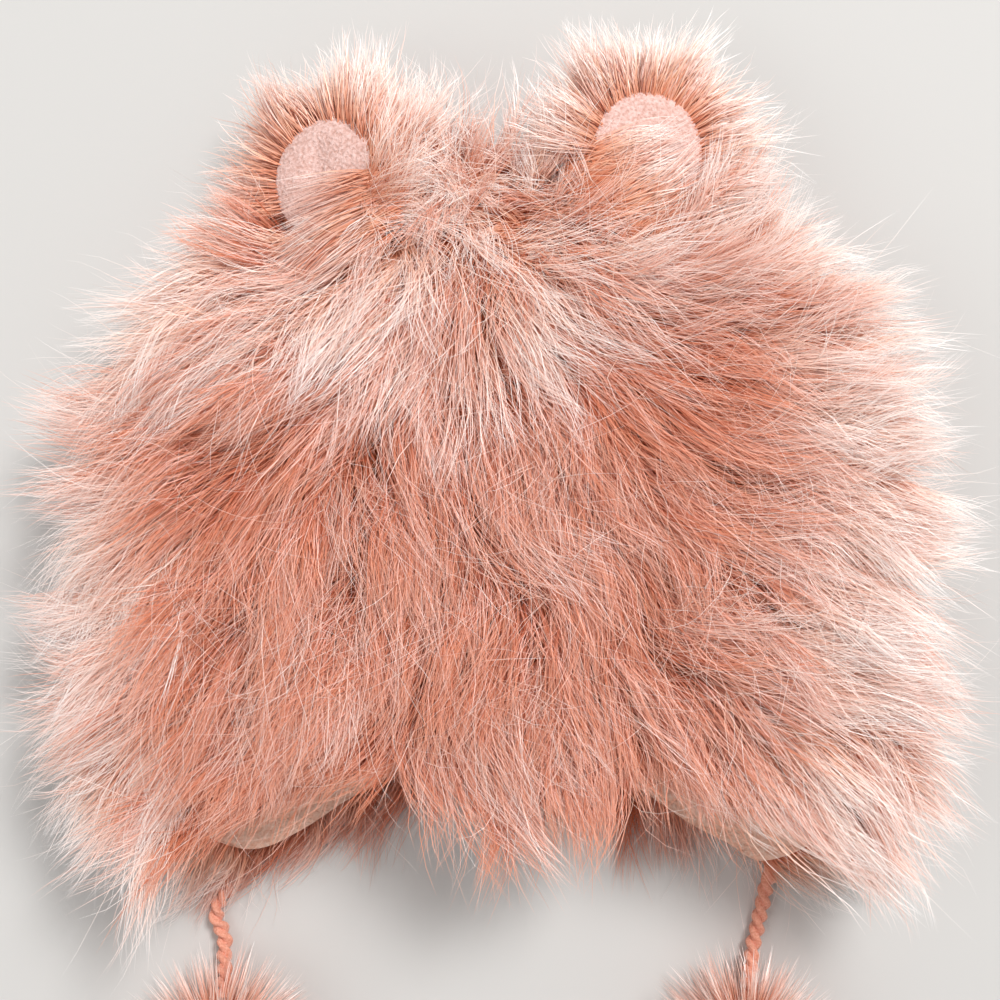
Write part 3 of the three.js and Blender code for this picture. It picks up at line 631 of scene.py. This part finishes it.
def bag_fur(
    names, count, coat, seed, rings=(0.0, 1.0), drops=(0.0, 1.0), trim=0.0, longer=1.0, paler=0.0,
):
    """Strands over part of the bag, in locks made of tufts."""
    rng = np.random.default_rng(seed)
    count = int(count * SHARE)
    way = COATS[coat]
    rows = np.linspace(*drops, 400)
    density = half_round(rows)
    cumulative = np.cumsum(density) / np.sum(density)
    drop = np.interp(rng.uniform(size=count), cumulative, rows)
    ring = rng.uniform(*rings, count) * np.where(rng.uniform(size=count) < 0.5, -1, 1)
    flat = np.stack((ring * half_round(drop), drop * HAT_LENGTH), axis=-1)

    lock, lock_luck = nearest_cell(flat, LOCK, LOCK_SEED)
    tuft, tuft_luck = nearest_cell(flat, TUFT, TUFT_SEED)
    wide = waves(flat, WIDE_WAVE, 5)
    at_turn = turn_of(ring)
    first_root = wall(drop, at_turn, PILE_ROOT)
    first_normal = wall_normal(drop, at_turn, PILE_ROOT)
    messy = tousle(first_root)
    swirl = 0.3 * wide + 0.16 * waves(flat, SMALL_WAVE, 8)
    swirl = swirl + (0.75 + 2.4 * messy) * (lock_luck[:, 0] - 0.5)
    tuft_twist = swirl + (0.45 + 1.6 * messy) * (tuft_luck[:, 0] - 0.5)

    across_part = (tuft_luck[:, 2] < 0.5 * messy) * (2.2 + 1.9 * tuft_luck[:, 1])
    tuft_twist = tuft_twist + across_part
    lock_bend = way["bend"] * (lock_luck[:, 2] - 0.5) + sweep_bend(first_root)
    bend = lock_bend + 1.2 * way["bend"] * (tuft_luck[:, 1] - 0.5)

    loose = rng.uniform(size=count) < way["loose"]
    length = rng.uniform(*way["length"], count) * longer * length_share(first_root, first_normal)
    length = length * (0.9 + 0.2 * lock_luck[:, 2])
    length = length * (0.85 + 0.3 * tuft_luck[:, 2])
    lift = way["lift"] * (0.75 + 0.5 * lock_luck[:, 1])
    own_twist = tuft_twist + rng.normal(0, 0.1, count) + loose * rng.normal(0, 0.6, count)
    own_lift = lift * rng.uniform(0.6, 1.35, count) + loose * rng.uniform(0, 0.5, count)
    own_bend = bend + rng.normal(0, 0.08, count) + loose * rng.normal(0, 0.5, count)
    root, normal, start, finish = bag_lie(drop, ring, own_twist, own_bend, own_lift, way["droop"])

    def guide(place, twist, curve, raised):
        at_drop = np.clip(place[:, 1] / HAT_LENGTH, 0, 1)
        at_ring = np.clip(place[:, 0] / half_round(at_drop), -2, 2)
        ways = bag_lie(at_drop, at_ring, twist, curve, raised, way["droop"])
        return bow(ways[0], ways[2], ways[3], length, way["segments"])

    lines = bow(root, start, finish, length, way["segments"])
    t = np.linspace(0, 1, way["segments"] + 1)[None, :, None]
    pull_tuft = rng.uniform(*way["pull_tuft"], count)
    pull_tuft = pull_tuft * (1 - 0.6 * outer_band(first_root) * rng.uniform(size=count))
    pull_tuft = np.where(loose, 0.05, pull_tuft)[:, None, None]
    pull_lock = way["pull_lock"] * (0.3 + lock_luck[:, 1]) * (1 - 0.8 * messy)
    pull_lock = np.where(loose, 0.0, pull_lock)[:, None, None]
    raised = lift * (0.8 + 0.4 * tuft_luck[:, 1])
    lines = lines + (guide(tuft, tuft_twist, bend, raised) - lines) * pull_tuft * t
    if way["pull_lock"]:
        lines = lines + (guide(lock, swirl, lock_bend, lift) - lines) * pull_lock * t**1.6
    side = unit(np.cross(start, normal))
    height = way["wave"] * (0.4 + 1.2 * tuft_luck[:, 2]) * (1 + 0.5 * loose)
    phase = 2 * math.pi * tuft_luck[:, 1] + rng.normal(0, 0.45 + loose, count)
    slow, fast = way["pace"]
    pace = slow + (fast - slow) * tuft_luck[:, 0] + rng.normal(0, 0.4, count)
    lines = wavy(lines, side, height, phase, pace)
    if trim:
        past = np.where(rng.uniform(size=count) < trim, LONG_OVERHANG, 0.0) + HEM_OVERHANG
        lines = trim_at_hem(lines, past * rng.uniform(-0.2, 1.2, count))
    lines = clear_of_ears(lines)
    lines = in_reach(off_floor(lines))

    tilt = rng.uniform(-1.0, 1.0, count)[:, None]
    facing = unit(normal + np.array((0, 0, 0.6)) + side * tilt)
    # The tone takes painted shade from the front's middle and from its dents.
    tone = 0.5 + paler + way["tone"] + 0.14 * wide + 0.45 * (lock_luck[:, 0] - 0.5) + painted_shade_tone(root)
    # Strands that stand higher are paler and lower ones darker: painted light on the tops of the locks
    # and painted shade under them.
    tone = tone + 0.9 * (tuft_luck[:, 0] - 0.5) + 0.3 * (own_lift / lift - 1)
    tone = tone + rng.normal(0, 0.14, count) + 0.2 * loose
    widths = way["width"] * rng.uniform(0.7, 1.25, count) * np.where(loose, 0.7, 1)
    return split_ribbons(names, lines, facing, widths, tone)


# Materials

def new_look(name, roughness, sheen=0.0, specular=0.3):
    look = bpy.data.materials.new(name)
    look.use_nodes = True
    shader = look.node_tree.nodes["Principled BSDF"]
    shader.inputs["Roughness"].default_value = roughness
    shader.inputs["Specular IOR Level"].default_value = specular
    shader.inputs["Sheen Weight"].default_value = sheen
    shader.inputs["Sheen Roughness"].default_value = 0.5
    return look, look.node_tree, shader


def linear(red, green, blue):
    """A colour given as 0 to 255 on a screen."""
    def one(value):
        value /= 255
        return value / 12.92 if value <= 0.04045 else ((value + 0.055) / 1.055) ** 2.4
    return one(red), one(green), one(blue), 1.0


def ramp(tree, stops):
    node = tree.nodes.new("ShaderNodeValToRGB")
    elements = node.color_ramp.elements
    while len(elements) < len(stops):
        elements.new(0.5)
    for element, (place, colour) in zip(elements, stops):
        element.position = place
        element.color = linear(*colour)
    return node


def strand_look(name, deep, pale):
    """Root to tip colours of the darker and the paler strands, read from the strands' map."""
    look, tree, shader = new_look(name, 0.4, specular=0.9)
    place = tree.nodes.new("ShaderNodeUVMap")
    place.uv_map = "OFBake"
    parts = tree.nodes.new("ShaderNodeSeparateXYZ")
    tree.links.new(place.outputs["UV"], parts.inputs["Vector"])
    mix = tree.nodes.new("ShaderNodeMix")
    mix.data_type = "RGBA"
    tree.links.new(parts.outputs["X"], mix.inputs["Factor"])
    for stops, socket in ((deep, mix.inputs[6]), (pale, mix.inputs[7])):
        colours = ramp(tree, stops)
        tree.links.new(parts.outputs["Y"], colours.inputs["Fac"])
        tree.links.new(colours.outputs["Color"], socket)
    tree.links.new(mix.outputs[2], shader.inputs["Base Color"])
    return look


# The paler strands' tips are near white: partly the fur's own pale tips, partly painted light for the
# glow through them and their highlights.
fur_look = strand_look(
    "fur",
    ((0.0, (164, 68, 32)), (0.35, (200, 96, 56)), (0.7, (226, 136, 98)), (1.0, (242, 180, 154))),
    ((0.0, (230, 128, 80)), (0.3, (250, 192, 160)), (0.65, (255, 234, 224)), (1.0, (255, 253, 252))),
)


def noise_look(name, low, high, roughness, scale, bump, distance, sheen=0.0):
    """A soft surface with uneven colour and a fine relief."""
    look, tree, shader = new_look(name, roughness, sheen)
    place = tree.nodes.new("ShaderNodeTexCoord")
    grain = tree.nodes.new("ShaderNodeTexNoise")
    grain.inputs["Scale"].default_value = scale
    grain.inputs["Detail"].default_value = 4
    tree.links.new(place.outputs["Object"], grain.inputs["Vector"])
    colours = ramp(tree, ((0.32, low), (0.68, high)))
    tree.links.new(grain.outputs["Fac"], colours.inputs["Fac"])
    tree.links.new(colours.outputs["Color"], shader.inputs["Base Color"])
    relief = tree.nodes.new("ShaderNodeBump")
    relief.inputs["Strength"].default_value = bump
    relief.inputs["Distance"].default_value = distance
    tree.links.new(grain.outputs["Fac"], relief.inputs["Height"])
    tree.links.new(relief.outputs["Normal"], shader.inputs["Normal"])
    return look


hide_look = noise_look("hide", (188, 84, 52), (214, 116, 82), 0.9, 900, 0.6, 0.001)
ear_look = noise_look("ear", (216, 128, 90), (236, 158, 124), 0.9, 900, 0.6, 0.001)
patch_look = noise_look("patch", (204, 156, 142), (242, 206, 198), 0.95, 900, 1.0, 0.0008, 0.3)
fleece_look = noise_look("fleece", (248, 190, 162), (255, 220, 200), 0.95, 600, 1.0, 0.0012, 0.3)
yarn_look = noise_look("yarn", (216, 140, 114), (242, 176, 152), 0.9, 1500, 0.7, 0.0004, 0.2)


# Bag layers

def mesh_piece(name, points, faces, look):
    mesh = bpy.data.meshes.new(name)
    mesh.from_pydata(points, [], faces)
    mesh.validate()
    return new_piece(name, mesh, look)


def bag_shell(name, inner, outer, look, sides, rows, rough=0.0):
    """One closed layer of the bag: an outer and an inner face, joined round the hem."""
    turns = np.linspace(0, 2 * math.pi, sides, endpoint=False)
    drops = np.sin(np.linspace(0, math.pi / 2, rows)) ** 1.2
    grids = []
    for out in (outer, inner):
        drop, turn = np.meshgrid(drops, turns, indexing="ij")
        grid = wall(drop.ravel(), turn.ravel(), out)
        if rough:
            bumps = waves(grid, 0.0022, 41, 9) * rough
            grid = grid + wall_normal(drop.ravel(), turn.ravel(), out) * bumps[:, None]
        grids.append(grid)
    points = np.concatenate(grids)
    faces = []
    total = rows * sides
    for side in range(sides):
        other = (side + 1) % sides
        for row in range(rows - 1):
            a, b = row * sides, (row + 1) * sides
            faces.append((a + side, b + side, b + other, a + other))
            faces.append((total + a + other, total + b + other, total + b + side, total + a + side))
        last = (rows - 1) * sides
        faces.append((last + side, total + last + side, total + last + other, last + other))
    faces.append(tuple(range(sides)))
    faces.append(tuple(range(total + sides - 1, total - 1, -1)))
    obj = mesh_piece(name, points.tolist(), faces, look)
    work = bmesh.new()
    work.from_mesh(obj.data)
    bmesh.ops.recalc_face_normals(work, faces=work.faces)
    bmesh.ops.triangulate(work, faces=[f for f in work.faces if len(f.verts) > 4])
    work.to_mesh(obj.data)
    work.free()
    return obj


# Ears

def ear_matrix(side):
    across, down, lean, roll, pitch = EARS[side]
    turn = math.pi * (0.5 - across / 2)
    seat = wall(np.array([EAR_SEAT_DROP]), np.array([turn]), FUR_FACE)[0, 2]
    place = Vector((
        CROWN_X + across * HALF_WIDTH, CROWN_Y - down * HAT_LENGTH, seat + EAR_SEAT - EAR_SIZE[2],
    ))
    lean_by = Matrix.Rotation(lean, 4, "Z") @ Matrix.Rotation(pitch, 4, "X")
    return Matrix.Translation(place) @ (lean_by @ Matrix.Rotation(roll, 4, "Y"))


def moved(points, matrix):
    turn = np.array(matrix.to_3x3())
    return points @ turn.T + np.array(matrix.translation)


def rotated(ways, matrix):
    return ways @ np.array(matrix.to_3x3()).T


def ellipsoid(name, size, matrix, look, rough, detail, shift=(0, 0, 0), crease=0.0, dish=0.0):
    """A rough ball squeezed to a size, with a fold and a dish in its upper face if asked for."""
    ball = bmesh.new()
    bmesh.ops.create_icosphere(ball, subdivisions=detail, radius=1)
    ways = np.array([v.co for v in ball.verts])
    faces = [[v.index for v in f.verts] for f in ball.faces]
    ball.free()
    points = ways * size + shift
    nubs = waves(points, 0.0017, 43, 9) * rough * fade(0.3 + np.abs(ways[:, 2]))
    points = points + unit(points - shift) * nubs[:, None]
    if crease:
        run = CREASE_SLANT * ways[:, 1] + CREASE_PLACE
        dent = np.exp(-(((ways[:, 0] - run) / CREASE_WIDTH) ** 2))
        dent = dent * window(ways[:, 1], -0.25, 0.45, 0.25)
        dent = crease * dent + dish * fade(1.1 - 1.3 * np.hypot(ways[:, 0], ways[:, 1]))
        points[:, 2] -= dent * (ways[:, 2] > 0)
    return mesh_piece(name, moved(points, matrix).tolist(), faces, look)


EAR_PILE = {"left": 0.029, "right": 0.026}
EAR_ARC = {"left": (-0.75, math.pi + 0.5), "right": (-0.3, math.pi + 0.3)}
EAR_SWEEP = {"left": (-0.7, 0.65, 0), "right": (0.1, 0.3, 0)}  # the way that an ear's hair is combed
EAR_TUFT = 0.0045
EAR_STRAND = 0.00036
EAR_WAVE = 0.0014
EAR_SEGMENTS = 5
EAR_TONE_WAVE = 0.012
TIP_FALL = 0.12
# Two shares of the pile's length for each kind of hair: short, middling and loose
HAIR_KINDS = np.array(((0.24, 0.42), (0.48, 0.85), (0.7, 1.55)))
FRINGE = {
    # Hair that sweeps over the patch: the arc of its roots, in radians from the ear's right, the
    # way that it points in the ear's frame, and its length
    "left": {"arc": (-2.1, -0.1), "way": (-0.97, -0.24), "length": 0.039},
    "right": {"arc": (-3.0, -0.6), "way": (0.82, 0.57), "length": 0.037},
}


def spoke(angle):
    """Flat directions at angles."""
    return np.stack((np.cos(angle), np.sin(angle), np.zeros_like(angle)), axis=-1)


def strands_on_ear(name, side, root, out, start, finish, length, seed, tone_shift, curl=1.0):
    """Strands given in an ear's own frame, drawn together in tufts."""
    rng = np.random.default_rng(seed)
    count = len(root)
    matrix = ear_matrix(side)
    lines = bow(root, start, finish, length, EAR_SEGMENTS)
    angle = np.arctan2(root[:, 1], root[:, 0])
    rise = root[:, 2] + 0.5 * np.hypot(root[:, 0], root[:, 1])
    flat = np.stack((angle * EAR_SIZE[0], rise), axis=-1)
    tuft, luck = nearest_cell(flat, EAR_TUFT, 53 + seed)
    keys = np.unique(tuft.round(6), axis=0, return_inverse=True)[1].ravel()
    totals = np.bincount(keys)
    t = np.linspace(0, 1, EAR_SEGMENTS + 1)[None, :, None]
    middle = np.stack([
        np.stack([np.bincount(keys, lines[:, i, j]) / totals for j in range(3)], axis=-1)
        for i in range(EAR_SEGMENTS + 1)
    ], axis=1)[keys]
    loose = rng.uniform(size=count) < 0.12
    pull = np.where(loose, 0.0, rng.uniform(0.1, 0.6, count))[:, None, None]
    lines = lines + (middle - lines) * pull * t
    side_way = unit(np.cross(start, out))
    lines = wavy(
        lines, side_way, EAR_WAVE * curl * (1 + 1.5 * loose) * (0.4 + luck[:, 2]),
        2 * math.pi * luck[:, 1] + rng.normal(0, 0.5 + loose, count), rng.uniform(3, 6, count),
    )
    lines = moved(lines.reshape(-1, 3), matrix).reshape(lines.shape)
    lines = in_reach(off_floor(lines))
    tilt = rng.uniform(-1, 1, count)[:, None]
    facing = unit(rotated(out + side_way * tilt, matrix) + np.array((0, 0, 0.8)))
    tone = 0.5 + tone_shift + 0.4 * (luck[:, 0] - 0.5) + rng.normal(0, 0.17, count) + 0.25 * loose
    width = EAR_STRAND * rng.uniform(0.7, 1.2, count) * np.where(loose, 0.65, 1)
    return ribbons(name, lines, facing, width, tone)


def ear_fur(side, count, seed):
    """Strands round an ear: over its back, its rim and the ring round the patch."""
    rng = np.random.default_rng(seed)
    count = int(count * SHARE)
    angle = rng.uniform(*EAR_ARC[side], count)
    height = rng.uniform(-0.8, 1.0, count)
    spread = np.sqrt(np.clip(1 - (0.75 * height) ** 2, 0, 1)) * np.where(height > 0, 0.98, 0.93)
    out = spoke(angle)
    root = out * spread[:, None] * EAR_SIZE
    root[:, 2] = 0.8 * height * EAR_SIZE[2]
    kind = rng.choice(3, count, p=(0.3, 0.35, 0.35))
    swirl = 0.35 * waves(root, EAR_TONE_WAVE, seed)
    swirl = swirl + rng.normal(0, 1, count) * np.array((0.45, 0.15, 0.3))[kind]
    way = turned(unit(out + np.array(EAR_SWEEP[side])), swirl)
    up = np.zeros_like(way)
    up[:, 2] = rng.uniform(0.5, 1.1, count) * np.where(kind == 0, 0.6 + height, height)
    start = unit(unit(out + way) + up)
    finish = unit(way + 0.3 * up + np.array((0, 0, -TIP_FALL)))
    least, most = HAIR_KINDS[kind].T
    length = EAR_PILE[side] * (least + (most - least) * rng.uniform(size=count) ** 1.4)
    length = length * (1 + 0.2 * waves(root, EAR_TONE_WAVE, seed + 1))
    facing = unit(out + np.array((0, 0, 0.7)))
    shift = np.array((0.0, 0.05, 0.4))[kind]
    curl = np.array((0.6, 0.8, 1.8))[kind]
    return strands_on_ear(
        f"ear_fur_{side}", side, root, facing, start, finish, length, seed, shift, curl,
    )


def ear_fringe(side, count, seed):
    """Crown hair that sweeps over the lower part of an ear's patch."""
    rng = np.random.default_rng(seed)
    count = int(count * SHARE)
    sweep = FRINGE[side]
    angle = rng.uniform(*sweep["arc"], count)
    ring = 1.0 + 0.7 * rng.uniform(size=count) ** 1.2
    out = spoke(angle)
    root = out * ring[:, None] * PATCH_SIZE
    root[:, 2] = EAR_SIZE[2] * (1.0 - 1.2 * (ring - 1))
    way = np.zeros_like(out)
    way[:, :2] = sweep["way"]
    way = turned(way, 0.25 * waves(root, 0.02, seed) + rng.normal(0, 0.14, count))
    lift = rng.uniform(0.15, 0.6, count)[:, None] * np.array((0, 0, 1.0))
    start = unit(way + lift)
    finish = unit(way - 0.25 * lift)
    length = sweep["length"] * rng.uniform(0.55, 1.1, count)
    facing = np.tile(np.array((0, 0, 1.0)), (count, 1))
    return strands_on_ear(
        f"ear_fringe_{side}", side, root, facing, start, finish, length, seed, 0.1,
    )


# Ties and pompoms

def smooth_path(points):
    """Points close together on a smooth curve through a route."""
    route = np.array(points)
    ends = np.concatenate((2 * route[:1] - route[1:2], route, 2 * route[-1:] - route[-2:-1]))
    path = []
    for i in range(1, len(ends) - 2):
        a, b, c, d = ends[i - 1 : i + 3]
        square = 2 * a - 5 * b + 4 * c - d
        cube = 3 * b - a - 3 * c + d
        for t in np.linspace(0, 1, PATH_STEPS, endpoint=False):
            path.append(0.5 * (2 * b + (c - a) * t + square * t**2 + cube * t**3))
    path.append(route[-1])
    return np.array(path)


def tie_piece(side):
    """Two yarn plies twisted round the route."""
    route = smooth_path(np.array(TIES[side]) + (CROWN_X, CROWN_Y, 0))
    tangent = unit(np.gradient(route, axis=0))
    across = unit(np.cross(tangent, np.array((0, 0, 1.0))))
    up = np.cross(across, tangent)
    run = np.concatenate(([0], np.cumsum(np.linalg.norm(np.diff(route, axis=0), axis=1))))
    ply = TIE_DIAMETER * PLY_RADIUS
    points, faces = [], []
    for strand in (0, math.pi):
        twist = run / PLY_PITCH * 2 * math.pi + strand
        out = np.cos(twist)[:, None] * across + np.sin(twist)[:, None] * up
        middle = route + out * ply * PLY_OFFSET
        first = len(points)
        for i, centre in enumerate(middle):
            for j in range(PLY_SIDES):
                angle = 2 * math.pi * j / PLY_SIDES
                ridge = 1 + RIDGE_HEIGHT * math.sin(RIDGES * angle + run[i] / RIDGE_PITCH)
                radius = ply * ridge
                points.append(centre + (math.cos(angle) * across[i] + math.sin(angle) * up[i]) * radius)
        for i in range(len(middle) - 1):
            for j in range(PLY_SIDES):
                a = first + i * PLY_SIDES
                b = a + PLY_SIDES
                k = (j + 1) % PLY_SIDES
                faces.append((a + j, a + k, b + k, b + j))
        faces.append(tuple(first + j for j in reversed(range(PLY_SIDES))))
        last = first + (len(middle) - 1) * PLY_SIDES
        faces.append(tuple(last + j for j in range(PLY_SIDES)))
    obj = mesh_piece(f"tie_yarn_{side}", [tuple(p) for p in points], faces, yarn_look)
    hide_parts(f"tie_{side}")
    return obj, route, float(run[-1])


def pompom(side, count, seed):
    """Strands in tufts, every way out of a small core."""
    rng = np.random.default_rng(seed)
    count = int(count * SHARE)
    low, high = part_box(f"pompom_{side}")
    centre = np.array(((low[0] + high[0]) / 2, (low[1] + high[1]) / 2, POMPOM_LEVEL))
    out = unit(rng.normal(size=(count, 3)))
    flat = np.stack((np.arctan2(out[:, 1], out[:, 0]) * POMPOM_MAP, out[:, 2] * POMPOM_MAP), axis=-1)
    tuft, luck = nearest_cell(flat, POMPOM_TUFT, 71 + seed)
    to_z = np.clip(tuft[:, 1] / POMPOM_MAP, -1, 1)
    to_angle = tuft[:, 0] / POMPOM_MAP
    flat_r = np.sqrt(1 - to_z**2)
    aim = np.stack((flat_r * np.cos(to_angle), flat_r * np.sin(to_angle), to_z), axis=-1)
    length = POMPOM_PILE * rng.uniform(0.6, 1.1, count)
    fall = np.array((0, 0, -0.3))
    segments = 4
    root = centre + out * POMPOM_CORE * POMPOM_ROOT
    ways = unit(out + 0.12 * rng.normal(size=out.shape))
    lines = bow(root, ways, unit(out + fall), length, segments)
    tuft_root = centre + aim * POMPOM_CORE * POMPOM_ROOT
    tufts = bow(tuft_root, aim, unit(aim + fall), length, segments)
    pull = rng.uniform(0.2, 0.65, count)[:, None, None]
    lines = lines + (tufts - lines) * pull * np.linspace(0, 1, segments + 1)[None, :, None]
    side_way = unit(np.cross(out, rng.normal(size=out.shape)))
    height = rng.uniform(0, POMPOM_WAVE, count)
    phase = rng.uniform(0, 6, count)
    lines = wavy(lines, side_way, height, phase, rng.uniform(3, 6, count))
    lines = in_reach(off_floor(lines))
    facing = unit(out + side_way)
    tone = 0.68 + 0.5 * (luck[:, 0] - 0.5) + rng.normal(0, 0.15, count)
    width = POMPOM_STRAND * rng.uniform(0.7, 1.2, count)
    fur = ribbons(f"pompom_fur_{side}", lines, facing, width, tone)
    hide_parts(f"pompom_{side}")
    core = ellipsoid(
        f"pompom_core_{side}", np.full(3, POMPOM_CORE * 0.97), Matrix.Translation(Vector(centre)),
        hide_look, rough=0.0006, detail=4,
    )
    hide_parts(f"pompom_{side}")
    return fur, core


# Camera, light and floor

LIGHTS = {
    "key": {"place": (1.1, 1.5, 2.3), "size": 1.0, "power": 82},
    "fill": {"place": (-0.7, -0.2, 0.9), "size": 0.9, "power": 2.5},
}
LIGHT_TARGET = (0, 0, 0.03)
SKY_STRENGTH = 0.43
FLOOR_HALF = 3.0
FLOOR_COLOUR = (206, 204, 201)


def photo_point(pixel, level):
    return Vector((
        CROWN_X + (pixel[0] - CROWN_PIXEL[0]) * PHOTO_SCALE,
        CROWN_Y - (pixel[1] - CROWN_PIXEL[1]) * PHOTO_SCALE,
        level,
    ))


def make_camera():
    data = bpy.data.cameras.new("camera")
    data.lens = CAMERA_LENS
    data.sensor_width = CAMERA_SENSOR
    data.sensor_fit = "HORIZONTAL"
    data.clip_start = 0.01
    camera = new_object("camera", data)
    distance = PHOTO_WIDTH * PHOTO_SCALE * CAMERA_LENS / CAMERA_SENSOR
    middle = photo_point((PHOTO_WIDTH / 2, PHOTO_WIDTH / 2), PICTURE_HEIGHT)
    camera.location = middle + Vector((0, 0, distance))
    bpy.context.scene.camera = camera


def area_light(name, place, size, power):
    data = bpy.data.lights.new(name, "AREA")
    data.shape = "DISK"
    data.size = size
    data.energy = power
    light = new_object(name, data)
    light.location = place
    way = Vector(LIGHT_TARGET) - Vector(place)
    light.rotation_euler = way.to_track_quat("-Z", "Y").to_euler()


def make_stage():
    mesh = bpy.data.meshes.new("floor")
    corners = [(x * FLOOR_HALF, y * FLOOR_HALF, 0) for x, y in ((-1, -1), (1, -1), (1, 1), (-1, 1))]
    mesh.from_pydata(corners, [], [(0, 1, 2, 3)])
    floor = new_object("floor", mesh)
    look, _, shader = new_look("floor", 0.8)
    shader.inputs["Base Color"].default_value = linear(*FLOOR_COLOUR)
    mesh.materials.append(look)
    world = bpy.data.worlds.new("studio")
    world.use_nodes = True
    sky = world.node_tree.nodes["Background"]
    sky.inputs["Color"].default_value = (1, 1, 1, 1)
    sky.inputs["Strength"].default_value = SKY_STRENGTH
    bpy.context.scene.world = world
    for name, light in LIGHTS.items():
        area_light(name, **light)


bpy.context.scene.view_settings.view_transform = "Standard"
make_camera()
make_stage()

for tie_side in TIES:
    tie_piece(tie_side)
pompoms = {side: pompom(side, 3400, 7 + i) for i, side in enumerate(TIES)}

lining = bag_shell("lining_fleece", HOLLOW, LINING_FACE, fleece_look, 140, 50, rough=0.0003)
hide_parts("lining")
pelt = bag_shell("pelt", HIDE_INNER, HIDE_OUTER, hide_look, 100, 40)
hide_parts("shell_front", "shell_back", "flap_left", "flap_right")

FRONT = ("shell_front", "flap_left", "flap_right")
BACK = ("shell_back",)
# Nodes hidden under the strands, and the strands over them: names, count, kind, seed, and where they
# grow
coats = [
    (FRONT, bag_fur(["fur_under"], 16000, "under", 1, rings=(0, 1.1), trim=0.05)),
    (FRONT, bag_fur(
        ["fur_left", "fur_middle", "fur_right"], 45000, "outer", 2, rings=(0, 1.12), trim=0.15,
    )),
    (FRONT, bag_fur(["fur_wisps"], 5000, "wisp", 3, rings=(0, 1.15), trim=0.3)),
    (FRONT, bag_fur(["fur_crown"], 2000, "crown", 9, rings=(0, 0.4), drops=(0.0, 0.2))),
    (BACK, bag_fur(["fur_back"], 6000, "outer", 4, rings=(1.03, 1.55))),
    # The back hem's hair is paler: partly its own blond tips, partly painted light that lifts it out of
    # the shade under the hem.
    (BACK, bag_fur(
        ["fur_back_hem"], 7500, "outer", 5, rings=(1.1, 2), drops=(0.93, 1), longer=1.15, paler=0.35,
    )),
    (BACK, bag_fur(["fur_pressed"], 3400, "under", 6, rings=(1.4, 2), drops=(0, 0.95))),
]
for nodes, pieces in coats:
    for piece in pieces:
        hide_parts(*nodes)

for ear_seed, ear_side in enumerate(EARS):
    at = ear_matrix(ear_side)
    pad = ellipsoid(
        f"ear_pad_{ear_side}", EAR_SIZE * PAD_SHARE, at, ear_look, rough=0.0002, detail=4,
    )
    patch = ellipsoid(
        f"ear_fleece_{ear_side}", PATCH_SIZE, at, patch_look,
        shift=(0, 0, EAR_SIZE[2] - PATCH_SIZE[2] / 3), rough=0.0002, detail=6,
        crease=PATCH_CREASE[ear_side], dish=PATCH_DISH,
    )
    hair = ear_fur(ear_side, 5500, 17 + ear_seed)
    fringe = ear_fringe(ear_side, 1200, 23 + ear_seed)
    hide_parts(f"ear_{ear_side}")
    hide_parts(f"ear_{ear_side}")
    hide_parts("shell_front")
    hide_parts(f"ear_inner_{ear_side}")
